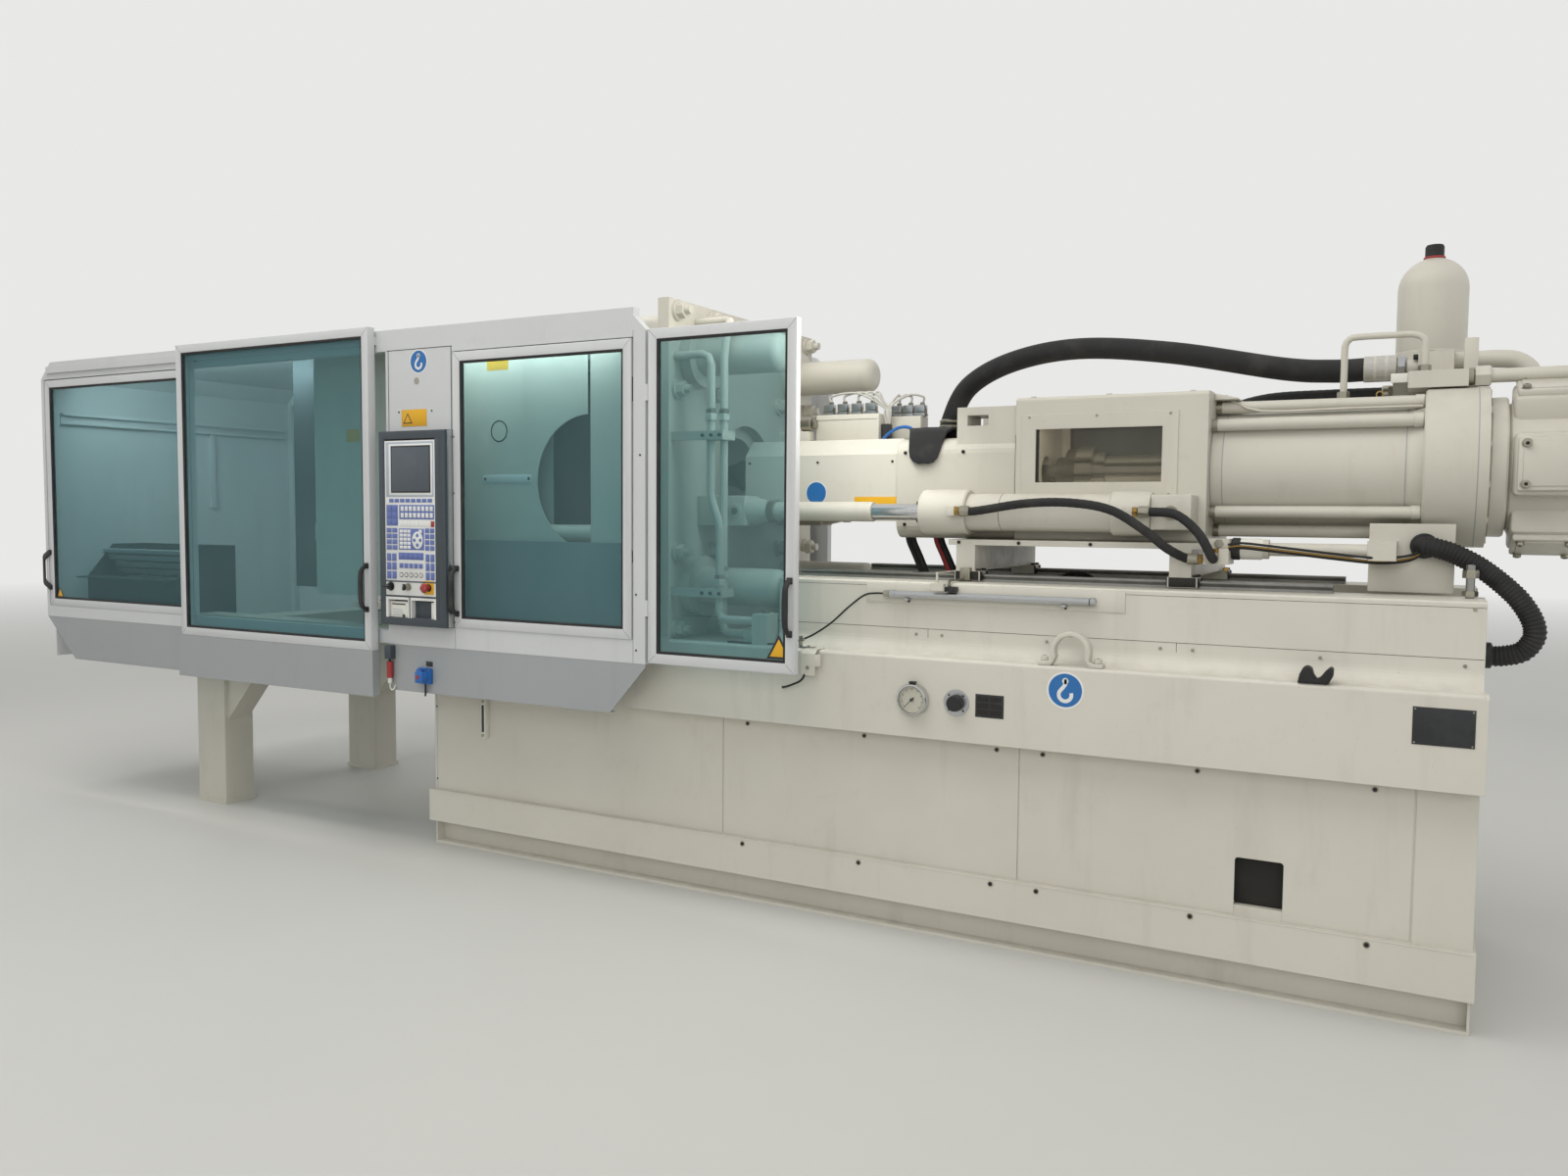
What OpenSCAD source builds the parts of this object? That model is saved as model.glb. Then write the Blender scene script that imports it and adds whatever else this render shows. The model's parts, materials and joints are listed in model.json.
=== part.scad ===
// Horizontal injection moulding machine with a two-platen clamp and a hydraulic screw drive.
// Millimetres. +X runs from the clamp to the screw motor, +Z is up, and Y = 0 is the
// machine's centre plane. X = 0 is the mould face of the fixed platen, Z = 0 the floor.

/* [Base and bed] */
// Distance from the mould face to the clamp end of the base
base_left = 920; // [800:10:1000]
// Distance from the mould face to the injection end of the base
base_right = 3110; // [3000:10:3300]
// Depth of the base over its panels
base_depth = 1060; // [1040:10:1100]
// Height of the cabinet top
base_top = 715; // [680:5:760]
// Height of the recessed channel under the base
channel_h = 105; // [90:1:120]
// Height of the skirting band
skirt_h = 140; // [110:5:160]
// How far the skirting stands out
skirt_out = 25; // [15:1:30]
// Thickness of the base plates
base_wall = 8; // [6:1:12]
// How far the hood stands out beyond the panels
hood_out = 75; // [60:5:85]
// Height of the hood's front face
hood_h = 282; // [260:2:290]
// Height of the bed top
bed_top = 1250; // [1220:5:1280]
// How far the bed wall stands back from the panels
bed_set_back = 30; // [20:5:40]
// Half width of the trough between the rails
trough_half = 255; // [235:5:265]
// Depth of the trough
trough_d = 120; // [80:5:150]

/* [Front panels] */
// X of the seam between the left and middle panels
seam_1 = 593; // [560:1:620]
// X of the seam between the middle and right panels
seam_2 = 1767; // [1740:1:1800]
// X of the seam at the right end of the panels
seam_3 = 2950; // [2930:1:2970]
// Gap between two panels
seam_gap = 4; // [3:0.5:6]
// Width of the service cut-out
cutout_w = 141; // [120:1:160]
// Height of the service cut-out
cutout_h = 181; // [150:1:200]
// X of the service cut-out's left edge
cutout_x = 2462; // [2400:1:2500]

/* [Legs] */
// Width of a leg along the machine
leg_w = 210; // [180:5:240]
// Depth of a leg
leg_d = 160; // [140:5:170]
// X of the legs' outer edge
leg_x = -2540; // [-2600:5:-2500]
// Wall of the leg tube
leg_wall = 10; // [8:1:12]

/* [Clamp] */
// Height of the machine axis
axis_z = 1650; // [1640:5:1670]
// Half distance between the tie bars across the machine
bar_y = 410; // [400:5:420]
// Half distance between the tie bars in height
bar_z = 450; // [440:5:460]
// Diameter of a tie bar
bar_d = 100; // [90:1:105]
// Thickness of the fixed platen
platen_t = 330; // [300:5:350]
// Height of the fixed platen above the machine axis
platen_up = 600; // [580:5:610]
// Thickness of the cylinder plate
cyl_plate_t = 50; // [40:1:60]
// Height of the cylinder plate above the machine axis
cyl_plate_up = 660; // [640:5:680]
// How far the cylinder plate's edges lie inside the hood's faces
cyl_plate_in = 9; // [7:1:15]
// Length of a domed tie bar cover
dome_l = 370; // [340:5:400]
// Outer diameter of a domed tie bar cover
dome_d = 148; // [144:1:152]
// Distance between the platens at rest
mould_gap = 270; // [250:5:300]
// Thickness of the moving platen's plate
mov_plate_t = 250; // [220:5:280]
// Length of the moving platen with its guide sleeves
mov_l = 1340; // [1300:10:1380]
// Opening stroke of the moving platen
clamp_stroke = 690; // [600:10:690]
// Bore of the centring ring
centring_d = 125; // [100:1:160]
// Spacing of the outer mould bolt holes
bolt_outer = 560; // [490:70:560]
// Spacing of the inner mould bolt holes across the machine
bolt_inner = 280; // [210:70:350]
// Diameter of a mould bolt hole
bolt_d = 24; // [20:1:28]

/* [Guard] */
// Distance from the centre plane to the guard's outer face
guard_half = 780; // [770:5:790]
// X of the guard's left end
guard_left = -3450; // [-3500:5:-3400]
// X of the guard's right end
guard_right = 401; // [395:1:410]
// Top of the guard
guard_top = 2245; // [2230:5:2260]
// Bottom of the guard frame
guard_bottom = 920; // [905:5:930]
// Size of the guard's corner chamfers
chamfer = 85; // [60:5:95]
// Depth of the aluminium frame profile
frame_d = 40; // [32:1:44]
// Width of a door's frame profile
stile_w = 38; // [34:1:40]
// Depth of a door's frame profile
door_d = 30; // [26:1:32]
// Thickness of a window pane
pane_t = 6; // [5:1:8]
// Clearance between a door and the frame
door_gap = 4; // [3:0.5:5]
// Lowest edge of the aprons
apron_low = 705; // [690:5:715]

/* [Operator panel] */
// Width of the operator panel
hmi_w = 376; // [370:1:376]
// Height of the operator panel
hmi_h = 810; // [780:5:830]
// How far the operator panel stands out
hmi_d = 50; // [45:1:60]
// X of the operator panel's left edge
hmi_x = -928; // [-931:1:-925]
// Height of the operator panel's lower edge
hmi_z = 1008; // [1000:1:1025]

/* [Injection unit] */
// Stroke of the carriage towards the mould
carriage_in = 115; // [80:5:115]
// Stroke of the carriage away from the mould
carriage_out = 300; // [200:5:300]
// Distance between a rail and the centre plane
rail_y = 330; // [320:5:335]
// Height of a rail
rail_h = 26; // [22:1:28]
// X of the injection housing's left face
house_x = 1640; // [1620:5:1660]
// Length of the injection housing
house_l = 660; // [640:5:680]
// Half width of the injection housing
house_half = 240; // [235:1:245]
// Height of the housing above the machine axis
house_up = 258; // [245:1:270]
// Depth of the housing below the machine axis
house_down = 250; // [245:1:260]
// Length of the throat section
throat_l = 465; // [440:5:480]
// Height of the throat section above the axis
throat_up = 125; // [115:1:135]
// Length of the barrel cover
cover_l = 675; // [640:5:690]
// Half width of the barrel cover
cover_half = 215; // [200:1:222]
// Outer diameter of the barrel
barrel_d = 150; // [130:1:170]
// Diameter of the feed throat
feed_d = 90; // [70:1:100]
// Outer diameter of the injection cylinder
inj_d = 394; // [380:1:400]
// Length of the injection cylinder between its end faces
inj_l = 633; // [600:1:650]
// Diameter of the injection cylinder's end flange
flange_d = 510; // [500:1:520]
// Length of the end flange
flange_l = 177; // [170:1:190]
// Diameter of a cylinder tie rod
tie_rod_d = 40; // [34:1:44]
// Radius of the tie rod circle
tie_rod_r = 226; // [222:1:230]
// Injection stroke of the screw
screw_stroke = 220; // [180:5:220]
// Diameter of the screw motor over its covers
motor_d = 530; // [510:5:540]
// Diameter of the accumulator
accu_d = 222; // [215:1:225]
// Height of the accumulator's top above the axis
accu_up = 750; // [730:5:770]
// Height of the carriage cylinders below the machine axis
carr_down = 153; // [148:1:158]
// Bore side diameter of a carriage cylinder's tube
carr_d = 132; // [126:1:136]
// Diameter of a carriage cylinder's rod
carr_rod_d = 60; // [55:1:64]

/* [Hidden] */
$fn = 64;

cream = [0.83, 0.81, 0.76];
frame_grey = [0.78, 0.79, 0.80];
apron_grey = [0.60, 0.62, 0.64];
slate = [0.20, 0.24, 0.27];
steel = [0.66, 0.67, 0.68];
dark = [0.13, 0.13, 0.14];
tint = [0.45, 0.62, 0.63, 0.5];

fit = 0.3;                       // clearance round bars and pins that only pass through
half_d = base_depth / 2;
base_x0 = -base_left;
base_x1 = base_right;
hood_y = half_d + hood_out;
hood_top = base_top + hood_h;
low_x0 = guard_right - 16;       // the hood starts under the guard's right post
bed_x0 = low_x0 + 435;           // the bed's high part starts behind the tie bar covers
bed_wall_y = half_d - bed_set_back;
hood_x1 = base_x1 + 10;
panel_t = 3;
panel_low = channel_h + skirt_h + 3;
panel_high = base_top - 3;
hood_wall = 6;

beam_y0 = 430;
beam_y1 = half_d + 30;
beam_top = 960;
platen_half = beam_y1 + 30;
cyl_plate_half = hood_y - cyl_plate_in;
platen_low = beam_top + 25;
mov_x1 = -mould_gap;
mov_x0 = mov_x1 - mov_l;
mov_half = bar_y + 80;
travel_y = mov_half + 45;
travel_z = 250;
travel_r = 36;
travel_x0 = mov_x0 + 420;
cover_y = travel_y + travel_r + 9;

y_front = -guard_half;
door_2_y = y_front - 50;

hmi_top = hmi_z + hmi_h;
house_x1 = house_x + house_l;
house_low = axis_z - house_down;
throat_x = house_x - throat_l;
throat_top = axis_z + throat_up;
cover_x = throat_x - cover_l;
inj_x1 = house_x1 + inj_l;
flange_x1 = inj_x1 + flange_l;
ring_t = 50;
ring_x1 = flange_x1 + ring_t;
carr_z = axis_z - carr_down;
feed_x = throat_x + 165;
block_h = 38;
foot_low = bed_top + block_h;
rod_end_x = 600;
accu_x = inj_x1 + 7;
accu_y = 400;
accu_base = axis_z + 250;

module box(x0, x1, y0, y1, z0, z1) {
    translate([x0, y0, z0]) cube([x1 - x0, y1 - y0, z1 - z0]);
}

module rod_x(d, x0, x1, y, z) {
    translate([x0, y, z]) rotate([0, 90, 0]) cylinder(d = d, h = x1 - x0);
}

module rod_y(d, y0, y1, x, z) {
    translate([x, y1, z]) rotate([90, 0, 0]) cylinder(d = d, h = y1 - y0);
}

module rod_z(d, z0, z1, x, y) {
    translate([x, y, z0]) cylinder(d = d, h = z1 - z0);
}

// Extrudes a profile in (Y, Z) along X.
module along_x(x0, x1) {
    translate([x0, 0, 0]) rotate([90, 0, 90]) linear_extrude(x1 - x0) children();
}

// Extrudes an outline in (X, Z) along Y.
module along_y(y0, y1) {
    translate([0, y1, 0]) rotate([90, 0, 0]) linear_extrude(y1 - y0) children();
}

module both_sides() {
    children();
    mirror([0, 1, 0]) children();
}

module round_plate(x0, x1, y0, y1, r) {
    hull() for (x = [x0 + r, x1 - r], y = [y0 + r, y1 - r]) translate([x, y]) circle(r, $fn = 24);
}

module at_bars() {
    for (y = [-bar_y, bar_y], z = [-bar_z, bar_z]) translate([0, y, axis_z + z]) children();
}

// Plates of the base: channel, floor pan, skirting and the cabinet's posts and rails.
module base_frame() color(cream) {
    web_y = half_d - 45;
    difference() {
        box(base_x0, base_x1, -half_d, half_d, 0, channel_h);
        box(base_x0 + base_wall, base_x1 - base_wall, web_y, half_d + 1, 10, channel_h - base_wall);
        box(base_x0 + base_wall, base_x1 - base_wall, -half_d - 1, -web_y, 10, channel_h - base_wall);
        for (bay = [[base_x0 + 100, -90], [90, 1380], [1560, base_x1 - 100]])
            box(bay[0], bay[1], -web_y + base_wall, web_y - base_wall, -1, channel_h - base_wall);
    }
    difference() {
        box(base_x0 - 15, base_x1 + base_wall, -half_d - skirt_out, half_d + skirt_out,
            channel_h, channel_h + skirt_h);
        box(base_x0, base_x1, -half_d, half_d, channel_h - 1, channel_h + skirt_h + 1);
    }
    difference() {
        box(base_x0, base_x1, -half_d, half_d, channel_h, base_top);
        box(base_x0 + base_wall, base_x1 - base_wall, -half_d + 25, half_d - 25,
            channel_h + base_wall, base_top - base_wall);
        both_sides() {
            for (bay = [[base_x0, seam_1], [seam_1, seam_2], [seam_2, seam_3]])
                box(bay[0] + 45, bay[1] - 45, -half_d - 1, -half_d + 26, panel_low + 30, panel_high - 30);
            box(base_x0 + 12, seam_3 + 4, -half_d - 1, -half_d + panel_t + fit,
                panel_low - 0.3, panel_high + 0.3);
        }
    }
}

// A folded panel: a plate with a stiffening return that sits inside its bay.
module panel(x0, x1) {
    box(x0 + seam_gap / 2, x1 - seam_gap / 2, -half_d, -half_d + panel_t, panel_low, panel_high);
    difference() {
        box(x0 + 50, x1 - 50, -half_d + panel_t, -half_d + 22, panel_low + 35, panel_high - 35);
        box(x0 + 53, x1 - 53, -half_d + panel_t - 1, -half_d + 23, panel_low + 38, panel_high - 38);
    }
}

module front_panel_left() color(cream) difference() {
    panel(base_x0 + 12, seam_1);
    box(base_x0 + 280, base_x0 + 310, -half_d - 1, -half_d + panel_t + 1, 507, 677);
}

module front_panel_mid() color(cream) panel(seam_1, seam_2);

module front_panel_right() color(cream) difference() {
    panel(seam_2, seam_3);
    along_y(-half_d - 1, -half_d + 30) translate([cutout_x, panel_low])
        round_plate(0, cutout_w, -20, cutout_h, 10);
}

module rear_panels() color(cream) mirror([0, 1, 0]) {
    panel(base_x0 + 12, seam_1);
    panel(seam_1, seam_2);
    panel(seam_2, seam_3);
}

// Outline of the bed's front half in (Y, Z), moved inwards by the wall for its hollow.
function arc(cy, cz, r, a0, a1, n) =
    [for (i = [0:n]) let (a = a0 + (a1 - a0) * i / n) [cy + r * cos(a), cz + r * sin(a)]];
function bed_half(w) = concat(
    [[-hood_y + w, base_top + w]],
    arc(-hood_y + 12 + w, hood_top - 12 - w, 12, 180, 90, 5),
    arc(-bed_wall_y - 55 + w, hood_top + 55 - w, 55, 270, 360, 8),
    [[-bed_wall_y + w, bed_top - 6 - w], [-bed_wall_y + 6 + w, bed_top - w]],
    [[-trough_half - w, bed_top - w], [-trough_half - w, bed_top - trough_d - w]]
);
function low_half(w) = concat(
    [[-hood_y + w, base_top + w]],
    arc(-hood_y + 12 + w, hood_top - 12 - w, 12, 180, 90, 5)
);
function mirrored(p) = [for (i = [len(p) - 1:-1:0]) [-p[i][0], p[i][1]]];

module bed() color(cream) {
    difference() {
        along_x(bed_x0, base_x1) polygon(concat(bed_half(0), mirrored(bed_half(0))));
        along_x(bed_x0 + hood_wall, base_x1 - hood_wall)
            polygon(concat(bed_half(hood_wall), mirrored(bed_half(hood_wall))));
    }
    difference() {
        along_x(low_x0, bed_x0) polygon(concat(low_half(0), mirrored(low_half(0))));
        along_x(low_x0 + hood_wall, bed_x0 + 1)
            polygon(concat(low_half(hood_wall), mirrored(low_half(hood_wall))));
    }
    both_sides() {
        along_x(base_x1, hood_x1) polygon([
            [-hood_y, base_top], [-hood_y, hood_top - 12], [-hood_y + 12, hood_top],
            [-half_d, hood_top], [-half_d, base_top]]);
        box(base_x0, low_x0, -hood_y, -hood_y + hood_wall, base_top, hood_top + 10);
        box(base_x0, low_x0, -hood_y + hood_wall, -beam_y1 - 2, base_top, base_top + hood_wall);
    }
}

// Two box beams carry the platens; they stand on the base and on the legs.
module clamp_frame() color(cream) {
    both_sides() difference() {
        box(leg_x, low_x0 - 30, -beam_y1, -beam_y0, base_top, beam_top);
        box(leg_x + 12, low_x0 - 42, -beam_y1 + 12, -beam_y0 - 12, base_top + 12, beam_top - 20);
    }
    box(leg_x, leg_x + leg_w, -beam_y0, beam_y0, base_top, beam_top - 30);
    box(base_x0 - 40, base_x0 + 80, -beam_y0, beam_y0, base_top, beam_top - 40);
    box(low_x0 - 150, low_x0 - 30, -beam_y0, beam_y0, base_top, beam_top - 40);
}

module legs() color(cream) both_sides() {
    y0 = -beam_y1;
    difference() {
        box(leg_x, leg_x + leg_w, y0, y0 + leg_d, 20, base_top);
        box(leg_x + leg_wall, leg_x + leg_w - leg_wall, y0 + leg_wall, y0 + leg_d - leg_wall,
            30, base_top - 10);
    }
    box(leg_x - 8, leg_x + leg_w + 8, y0 - 8, y0 + leg_d + 8, 0, 20);
    along_y(y0 + 20, y0 + leg_d - 20) polygon([
        [leg_x + leg_w, 430], [leg_x + leg_w, base_top],
        [leg_x + leg_w + 190, base_top], [leg_x + leg_w + 190, 640]]);
}

module mould_holes(x0, x1) {
    for (z = [-bolt_outer / 2, bolt_outer / 2]) {
        for (y = [-bolt_outer / 2, bolt_outer / 2]) rod_x(bolt_d, x0, x1, y, axis_z + z);
        for (y = [-bolt_inner / 2, bolt_inner / 2]) rod_x(bolt_d, x0, x1, y, axis_z + z);
    }
}

module fixed_platen() color(cream) difference() {
    union() {
        along_x(0, platen_t) translate([0, 0])
            round_plate(-platen_half, platen_half, platen_low, axis_z + platen_up, 30);
        both_sides() box(0, platen_t, -beam_y1, -beam_y0, beam_top, platen_low + 40);
    }
    at_bars() rod_x(bar_d + 2 * fit, -1, platen_t + 1, 0, 0);
    rod_x(centring_d, -1, 30, 0, axis_z);
    rod_x(90, 29, 120, 0, axis_z);
    rod_x(320, 119, platen_t + 1, 0, axis_z);
    mould_holes(-1, 60);
}

module cylinder_plate() color(cream) {
    x0 = platen_t;
    x1 = x0 + cyl_plate_t;
    difference() {
        union() {
            box(x0, x1, -cyl_plate_half, cyl_plate_half, axis_z - cyl_plate_up, axis_z + cyl_plate_up);
            at_bars() rod_x(236, x1 - 1, x1 + 50, 0, 0);
        }
        at_bars() rod_x(bar_d + 2 * fit, x0 - 1, x1 + 51, 0, 0);
        rod_x(420, x0 - 1, x1 + 1, 0, axis_z);
        both_sides() box(x0 - 1, x1 + 1, -beam_y1 - 60, -beam_y0 + 20, 0, beam_top + 2);
    }
    for (y = [-bar_y, bar_y], dy = [-130, 130], z = [-bar_z - 165, -bar_z + 135, bar_z - 135, bar_z + 165]) {
        rod_x(76, x1, x1 + 12, y + dy, axis_z + z);
        translate([x1 + 12, y + dy, axis_z + z]) rotate([0, 90, 0]) cylinder(d = 62, h = 30, $fn = 6);
        rod_x(32, x1 + 42, x1 + 66, y + dy, axis_z + z);
    }
}

module tie_bars() color(steel)
    at_bars() rod_x(bar_d, mov_x0 + 50, platen_t + cyl_plate_t + 260, 0, 0);

module dome_covers() color(cream)
    at_bars() translate([platen_t + cyl_plate_t + 50, 0, 0]) rotate([0, 90, 0]) rotate_extrude()
        polygon(concat(
            [[dome_d / 2 - 10, 0], [dome_d / 2, 0]],
            [for (a = [0:10:90]) [dome_d / 2 - 44 + 44 * cos(a), dome_l - 44 + 44 * sin(a)]],
            [[0, dome_l], [0, dome_l - 10]],
            [for (a = [90:-10:0]) [dome_d / 2 - 44 + 34 * cos(a), dome_l - 44 + 34 * sin(a)]]
        ));

// Travel cylinders of the moving platen, and the painted pipes behind the right door.
module clamp_hydraulics() color(cream) {
    for (s = [-1, 1]) difference() {
        union() {
            rod_x(travel_r * 2, travel_x0 + 40, 0, s * travel_y, axis_z + s * travel_z);
            rod_x(travel_r * 2 + 6, travel_x0, travel_x0 + 70, s * travel_y, axis_z + s * travel_z);
            rod_x(travel_r * 2 + 14, -30, 0, s * travel_y, axis_z + s * travel_z);
        }
        rod_x(36 + 2 * fit, travel_x0 - 1, -20, s * travel_y, axis_z + s * travel_z);
    }
    hose(pipe_a, 32, 1);
    hose(pipe_b, 32, 1);
    box(748, 812, -585, -486, hood_top, 1112);
    box(690, 748, -550, -486, hood_top, 1052);
    for (z = [1165, 1765]) difference() {
        box(platen_t + cyl_plate_t, 612, -578, -486, z, z + 34);
        rod_z(32.6, z - 1, z + 35, z > 1500 ? 543 : 584, -549);
        rod_z(32.6, z - 1, z + 35, 580, -515);
        box(platen_t + cyl_plate_t - 1, 510, -560, -485, z - 1, z + 35);
    }
}
pipe_a = [[381, -549, 2092], [500, -549, 2092], [530, -549, 2080], [543, -549, 2050], [543, -549, 1560],
          [550, -549, 1530], [577, -549, 1460], [584, -549, 1430], [584, -549, 1110], [594, -549, 1088],
          [620, -549, 1082], [747.7, -549, 1082]];
pipe_b = [[381, -400, 2240], [510, -400, 2240], [550, -425, 2230], [574, -475, 2195], [582, -508, 2140],
          [580, -515, 2080], [580, -515, 1060], [590, -515, 1036], [615, -515, 1028], [689.7, -515, 1028]];

// One upright or rail of the guard, given by its outline in (X, Z).
module bar_f(x0, x1, z0, z1) {
    box(x0, x1, y_front, y_front + frame_d, z0, z1);
}

switch_x0 = -933;
switch_x1 = -556;
door_3_x0 = -550;
door_3_x1 = 340;
door_4_x0 = guard_right + 11;
door_4_x1 = 1033;

module guard_frame() color(frame_grey) {
    top = guard_top;
    // left bay round door 1
    bar_f(guard_left, guard_left + 22, guard_bottom, top - 88);
    bar_f(guard_left + 22, -2290, guard_bottom, guard_bottom + 56);
    bar_f(guard_left + chamfer, switch_x0, top - 88, top);
    along_y(y_front, y_front + frame_d) polygon([
        [guard_left, top - 88], [guard_left, top - chamfer], [guard_left + chamfer, top],
        [guard_left + chamfer, top - 88]]);
    // track that carries the sliding door
    box(guard_left + 60, door_2_x1, y_front - 9.7, y_front, top - 58, top - 24);
    // hinge blocks of the right door
    for (z = [1100, 1900]) box(guard_right, door_4_x0 - fit, y_front, y_front + 24, z, z + 60);
    // rail under door 2, set back behind its pane
    box(-2290, switch_x0, y_front + 10, y_front + frame_d, guard_bottom, guard_bottom + 56);
    // switch panel, header and rail round door 3
    bar_f(switch_x0, switch_x1, guard_bottom, top);
    bar_f(switch_x1, door_3_x1 + 6, 2136, top);
    bar_f(switch_x1, door_3_x1 + 6, guard_bottom, 1009);
    along_y(y_front, y_front + frame_d) polygon([
        [door_3_x1 + 6, guard_bottom], [guard_right, guard_bottom],
        [guard_right, top - chamfer], [guard_right - chamfer, top], [door_3_x1 + 6 - 60, top],
        [door_3_x1 + 6 - 60, 2200], [door_3_x1 + 6, 2136]]);
    // ledge that closes the frame to the cabinet hood
    box(base_x0, guard_right - 50, y_front + frame_d, -hood_y, guard_bottom, guard_bottom + 6);
}

module guard_rear() color(frame_grey) {
    y0 = guard_half - frame_d;
    top = guard_top;
    difference() {
        along_y(y0, guard_half) polygon([
            [guard_left, apron_low], [guard_right, apron_low], [guard_right, top - chamfer],
            [guard_right - chamfer, top], [guard_left + chamfer, top], [guard_left, top - chamfer]]);
        box(-2284 + 40, -1040, y0 - 1, guard_half + 1, 1000, 2150);
        box(guard_left + 40, -2284, y0 - 1, guard_half - 3, 760, 2150);
        box(-1000, guard_right - 60, y0 - 1, guard_half - 3, 760, 2150);
    }
    box(base_x0, guard_right - 50, hood_y, y0, guard_bottom, guard_bottom + 6);
    // roof sheet over the clamp end and the end wall
    box(guard_left + chamfer, -960, y_front + frame_d, y0, top - 4, top);
    box(guard_left, guard_left + 4, y_front + frame_d, y0, apron_low, top - chamfer);
    along_y(y_front + frame_d, y0) polygon([
        [guard_left, top - chamfer], [guard_left + chamfer, top],
        [guard_left + chamfer, top - 5], [guard_left + 4, top - chamfer]]);
}

// Sheets inside the clamp area: low side walls on the beams and a slatted chute,
// which ends just short of the platen's cover at the end of the clamp stroke.
chute_x1 = mov_x0 - 270 - clamp_stroke - 5;
module inner_sheets() color(apron_grey) {
    both_sides() box(base_x0, low_x0 - 60, -hood_y, -hood_y + 5, hood_top + 10, 1366);
    box(-3320, chute_x1, -700, -636, 1124, 1130);
    box(guard_left + 4, -3320, -500, -440, 1000, 1060);
    difference() {
        box(-3320, chute_x1, -640, -300, 930, 1300);
        box(-3315, chute_x1 - 5, -635, -305, 935, 1301);
        along_x(-3321, chute_x1 + 1) polygon([[-641, 1130], [-641, 1301], [-500, 1301]]);
    }
    for (i = [0:6]) along_x(-3316, chute_x1 - 4) polygon([
        [-560 + i * 35, 1250 - i * 38], [-530 + i * 35, 1250 - i * 38],
        [-530 + i * 35, 1254 - i * 38], [-560 + i * 35, 1254 - i * 38]]);
}

// A door: frame with a rebate for its pane, and a bow handle on two feet.
module door_frame(x0, x1, z0, z1, y, d) {
    difference() {
        box(x0, x1, y, y + d, z0, z1);
        box(x0 + stile_w, x1 - stile_w, y - 1, y + d + 1, z0 + stile_w, z1 - stile_w);
        box(x0 + stile_w - 8, x1 - stile_w + 8, y + 10, y + 10 + pane_t + fit,
            z0 + stile_w - 8, z1 - stile_w + 8);
    }
}

module pane(x0, x1, z0, z1, y) {
    box(x0 + stile_w - 7.7, x1 - stile_w + 7.7, y + 10 + fit / 2, y + 10 + fit / 2 + pane_t,
        z0 + stile_w - 7.7, z1 - stile_w + 7.7);
}

module bow_handle(x, y, z) {
    translate([x, y, z]) rotate([90, 0, 90]) linear_extrude(22, center = true) polygon([
        [0, -105], [0, -82], [-26, -62], [-26, 62], [0, 82], [0, 105],
        [-18, 105], [-48, 70], [-48, -70], [-18, -105]]);
}

door_1_x0 = guard_left + 22 + door_gap;
door_1_x1 = -2236;
door_1_z0 = guard_bottom + 56 + fit;
door_1_z1 = guard_top - 92;
door_2_x0 = -2261;
door_2_x1 = -985;
door_2_z0 = 890;
door_2_z1 = 2258;
door_3_z0 = 1009 + fit;
door_3_z1 = 2132;
door_4_z0 = 925;
door_4_z1 = 2160;

module door_1() color(frame_grey) {
    door_frame(door_1_x0, door_1_x1, door_1_z0, door_1_z1, y_front + 1, door_d);
    // flat grip that passes behind the sliding door
    for (z = [1060, 1245]) box(door_1_x0, door_1_x0 + 22, y_front - 8, y_front + 1, z, z + 25);
    along_y(y_front - 8, y_front - fit) translate([door_1_x0, 1165]) polygon([
        [22, -105], [22, -80], [-30, -58], [-30, 58], [22, 80], [22, 105],
        [4, 105], [-48, 72], [-48, -72], [4, -105]]);
}
module door_1_glass() color(tint) pane(door_1_x0, door_1_x1, door_1_z0, door_1_z1, y_front + 1);

module door_2() color(frame_grey) {
    door_frame(door_2_x0, door_2_x1, door_2_z0, door_2_z1, door_2_y, 40);
    bow_handle(door_2_x1 - 19, door_2_y, 1160);
}
module door_2_glass() color(tint) pane(door_2_x0, door_2_x1, door_2_z0, door_2_z1, door_2_y);

module door_3() color(frame_grey) {
    door_frame(door_3_x0, door_3_x1, door_3_z0, door_3_z1, y_front - 6, door_d);
    bow_handle(door_3_x0 + 19, y_front - 6, 1160);
}
module door_3_glass() color(tint) pane(door_3_x0, door_3_x1, door_3_z0, door_3_z1, y_front - 6);

module door_4() color(frame_grey) {
    door_frame(door_4_x0, door_4_x1, door_4_z0, door_4_z1, y_front, door_d);
    bow_handle(door_4_x1 - 19, y_front, 1160);
}
module door_4_glass() color(tint) pane(door_4_x0, door_4_x1, door_4_z0, door_4_z1, y_front);

module rear_door() color(frame_grey) mirror([0, 1, 0]) {
    x0 = -2284;
    difference() {
        box(x0, -1000, y_front - door_d, y_front - fit, 940, 2210);
        box(x0 + 80, -1080, y_front - door_d - 1, y_front - 5, 1020, 2130);
    }
    bow_handle(-1030, y_front - door_d, 1160);
}

module apron_left() color(apron_grey) {
    along_y(y_front + 1, y_front + 4) polygon([
        [guard_left, guard_bottom], [-2290, guard_bottom], [-2290, apron_low],
        [guard_left + 235, apron_low]]);
    box(guard_left + 235, -2290, y_front + 4, y_front + 34, apron_low, apron_low + 3);
}

module apron_mid() color(apron_grey) {
    x0 = -920;
    along_y(y_front + 1, y_front + 4) polygon([
        [x0, guard_bottom], [guard_right, guard_bottom], [guard_right, guard_bottom - 12],
        [236, apron_low + 18], [x0, apron_low + 18]]);
    box(x0, 236, y_front + 4, y_front + 34, apron_low + 18, apron_low + 21);
}

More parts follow.
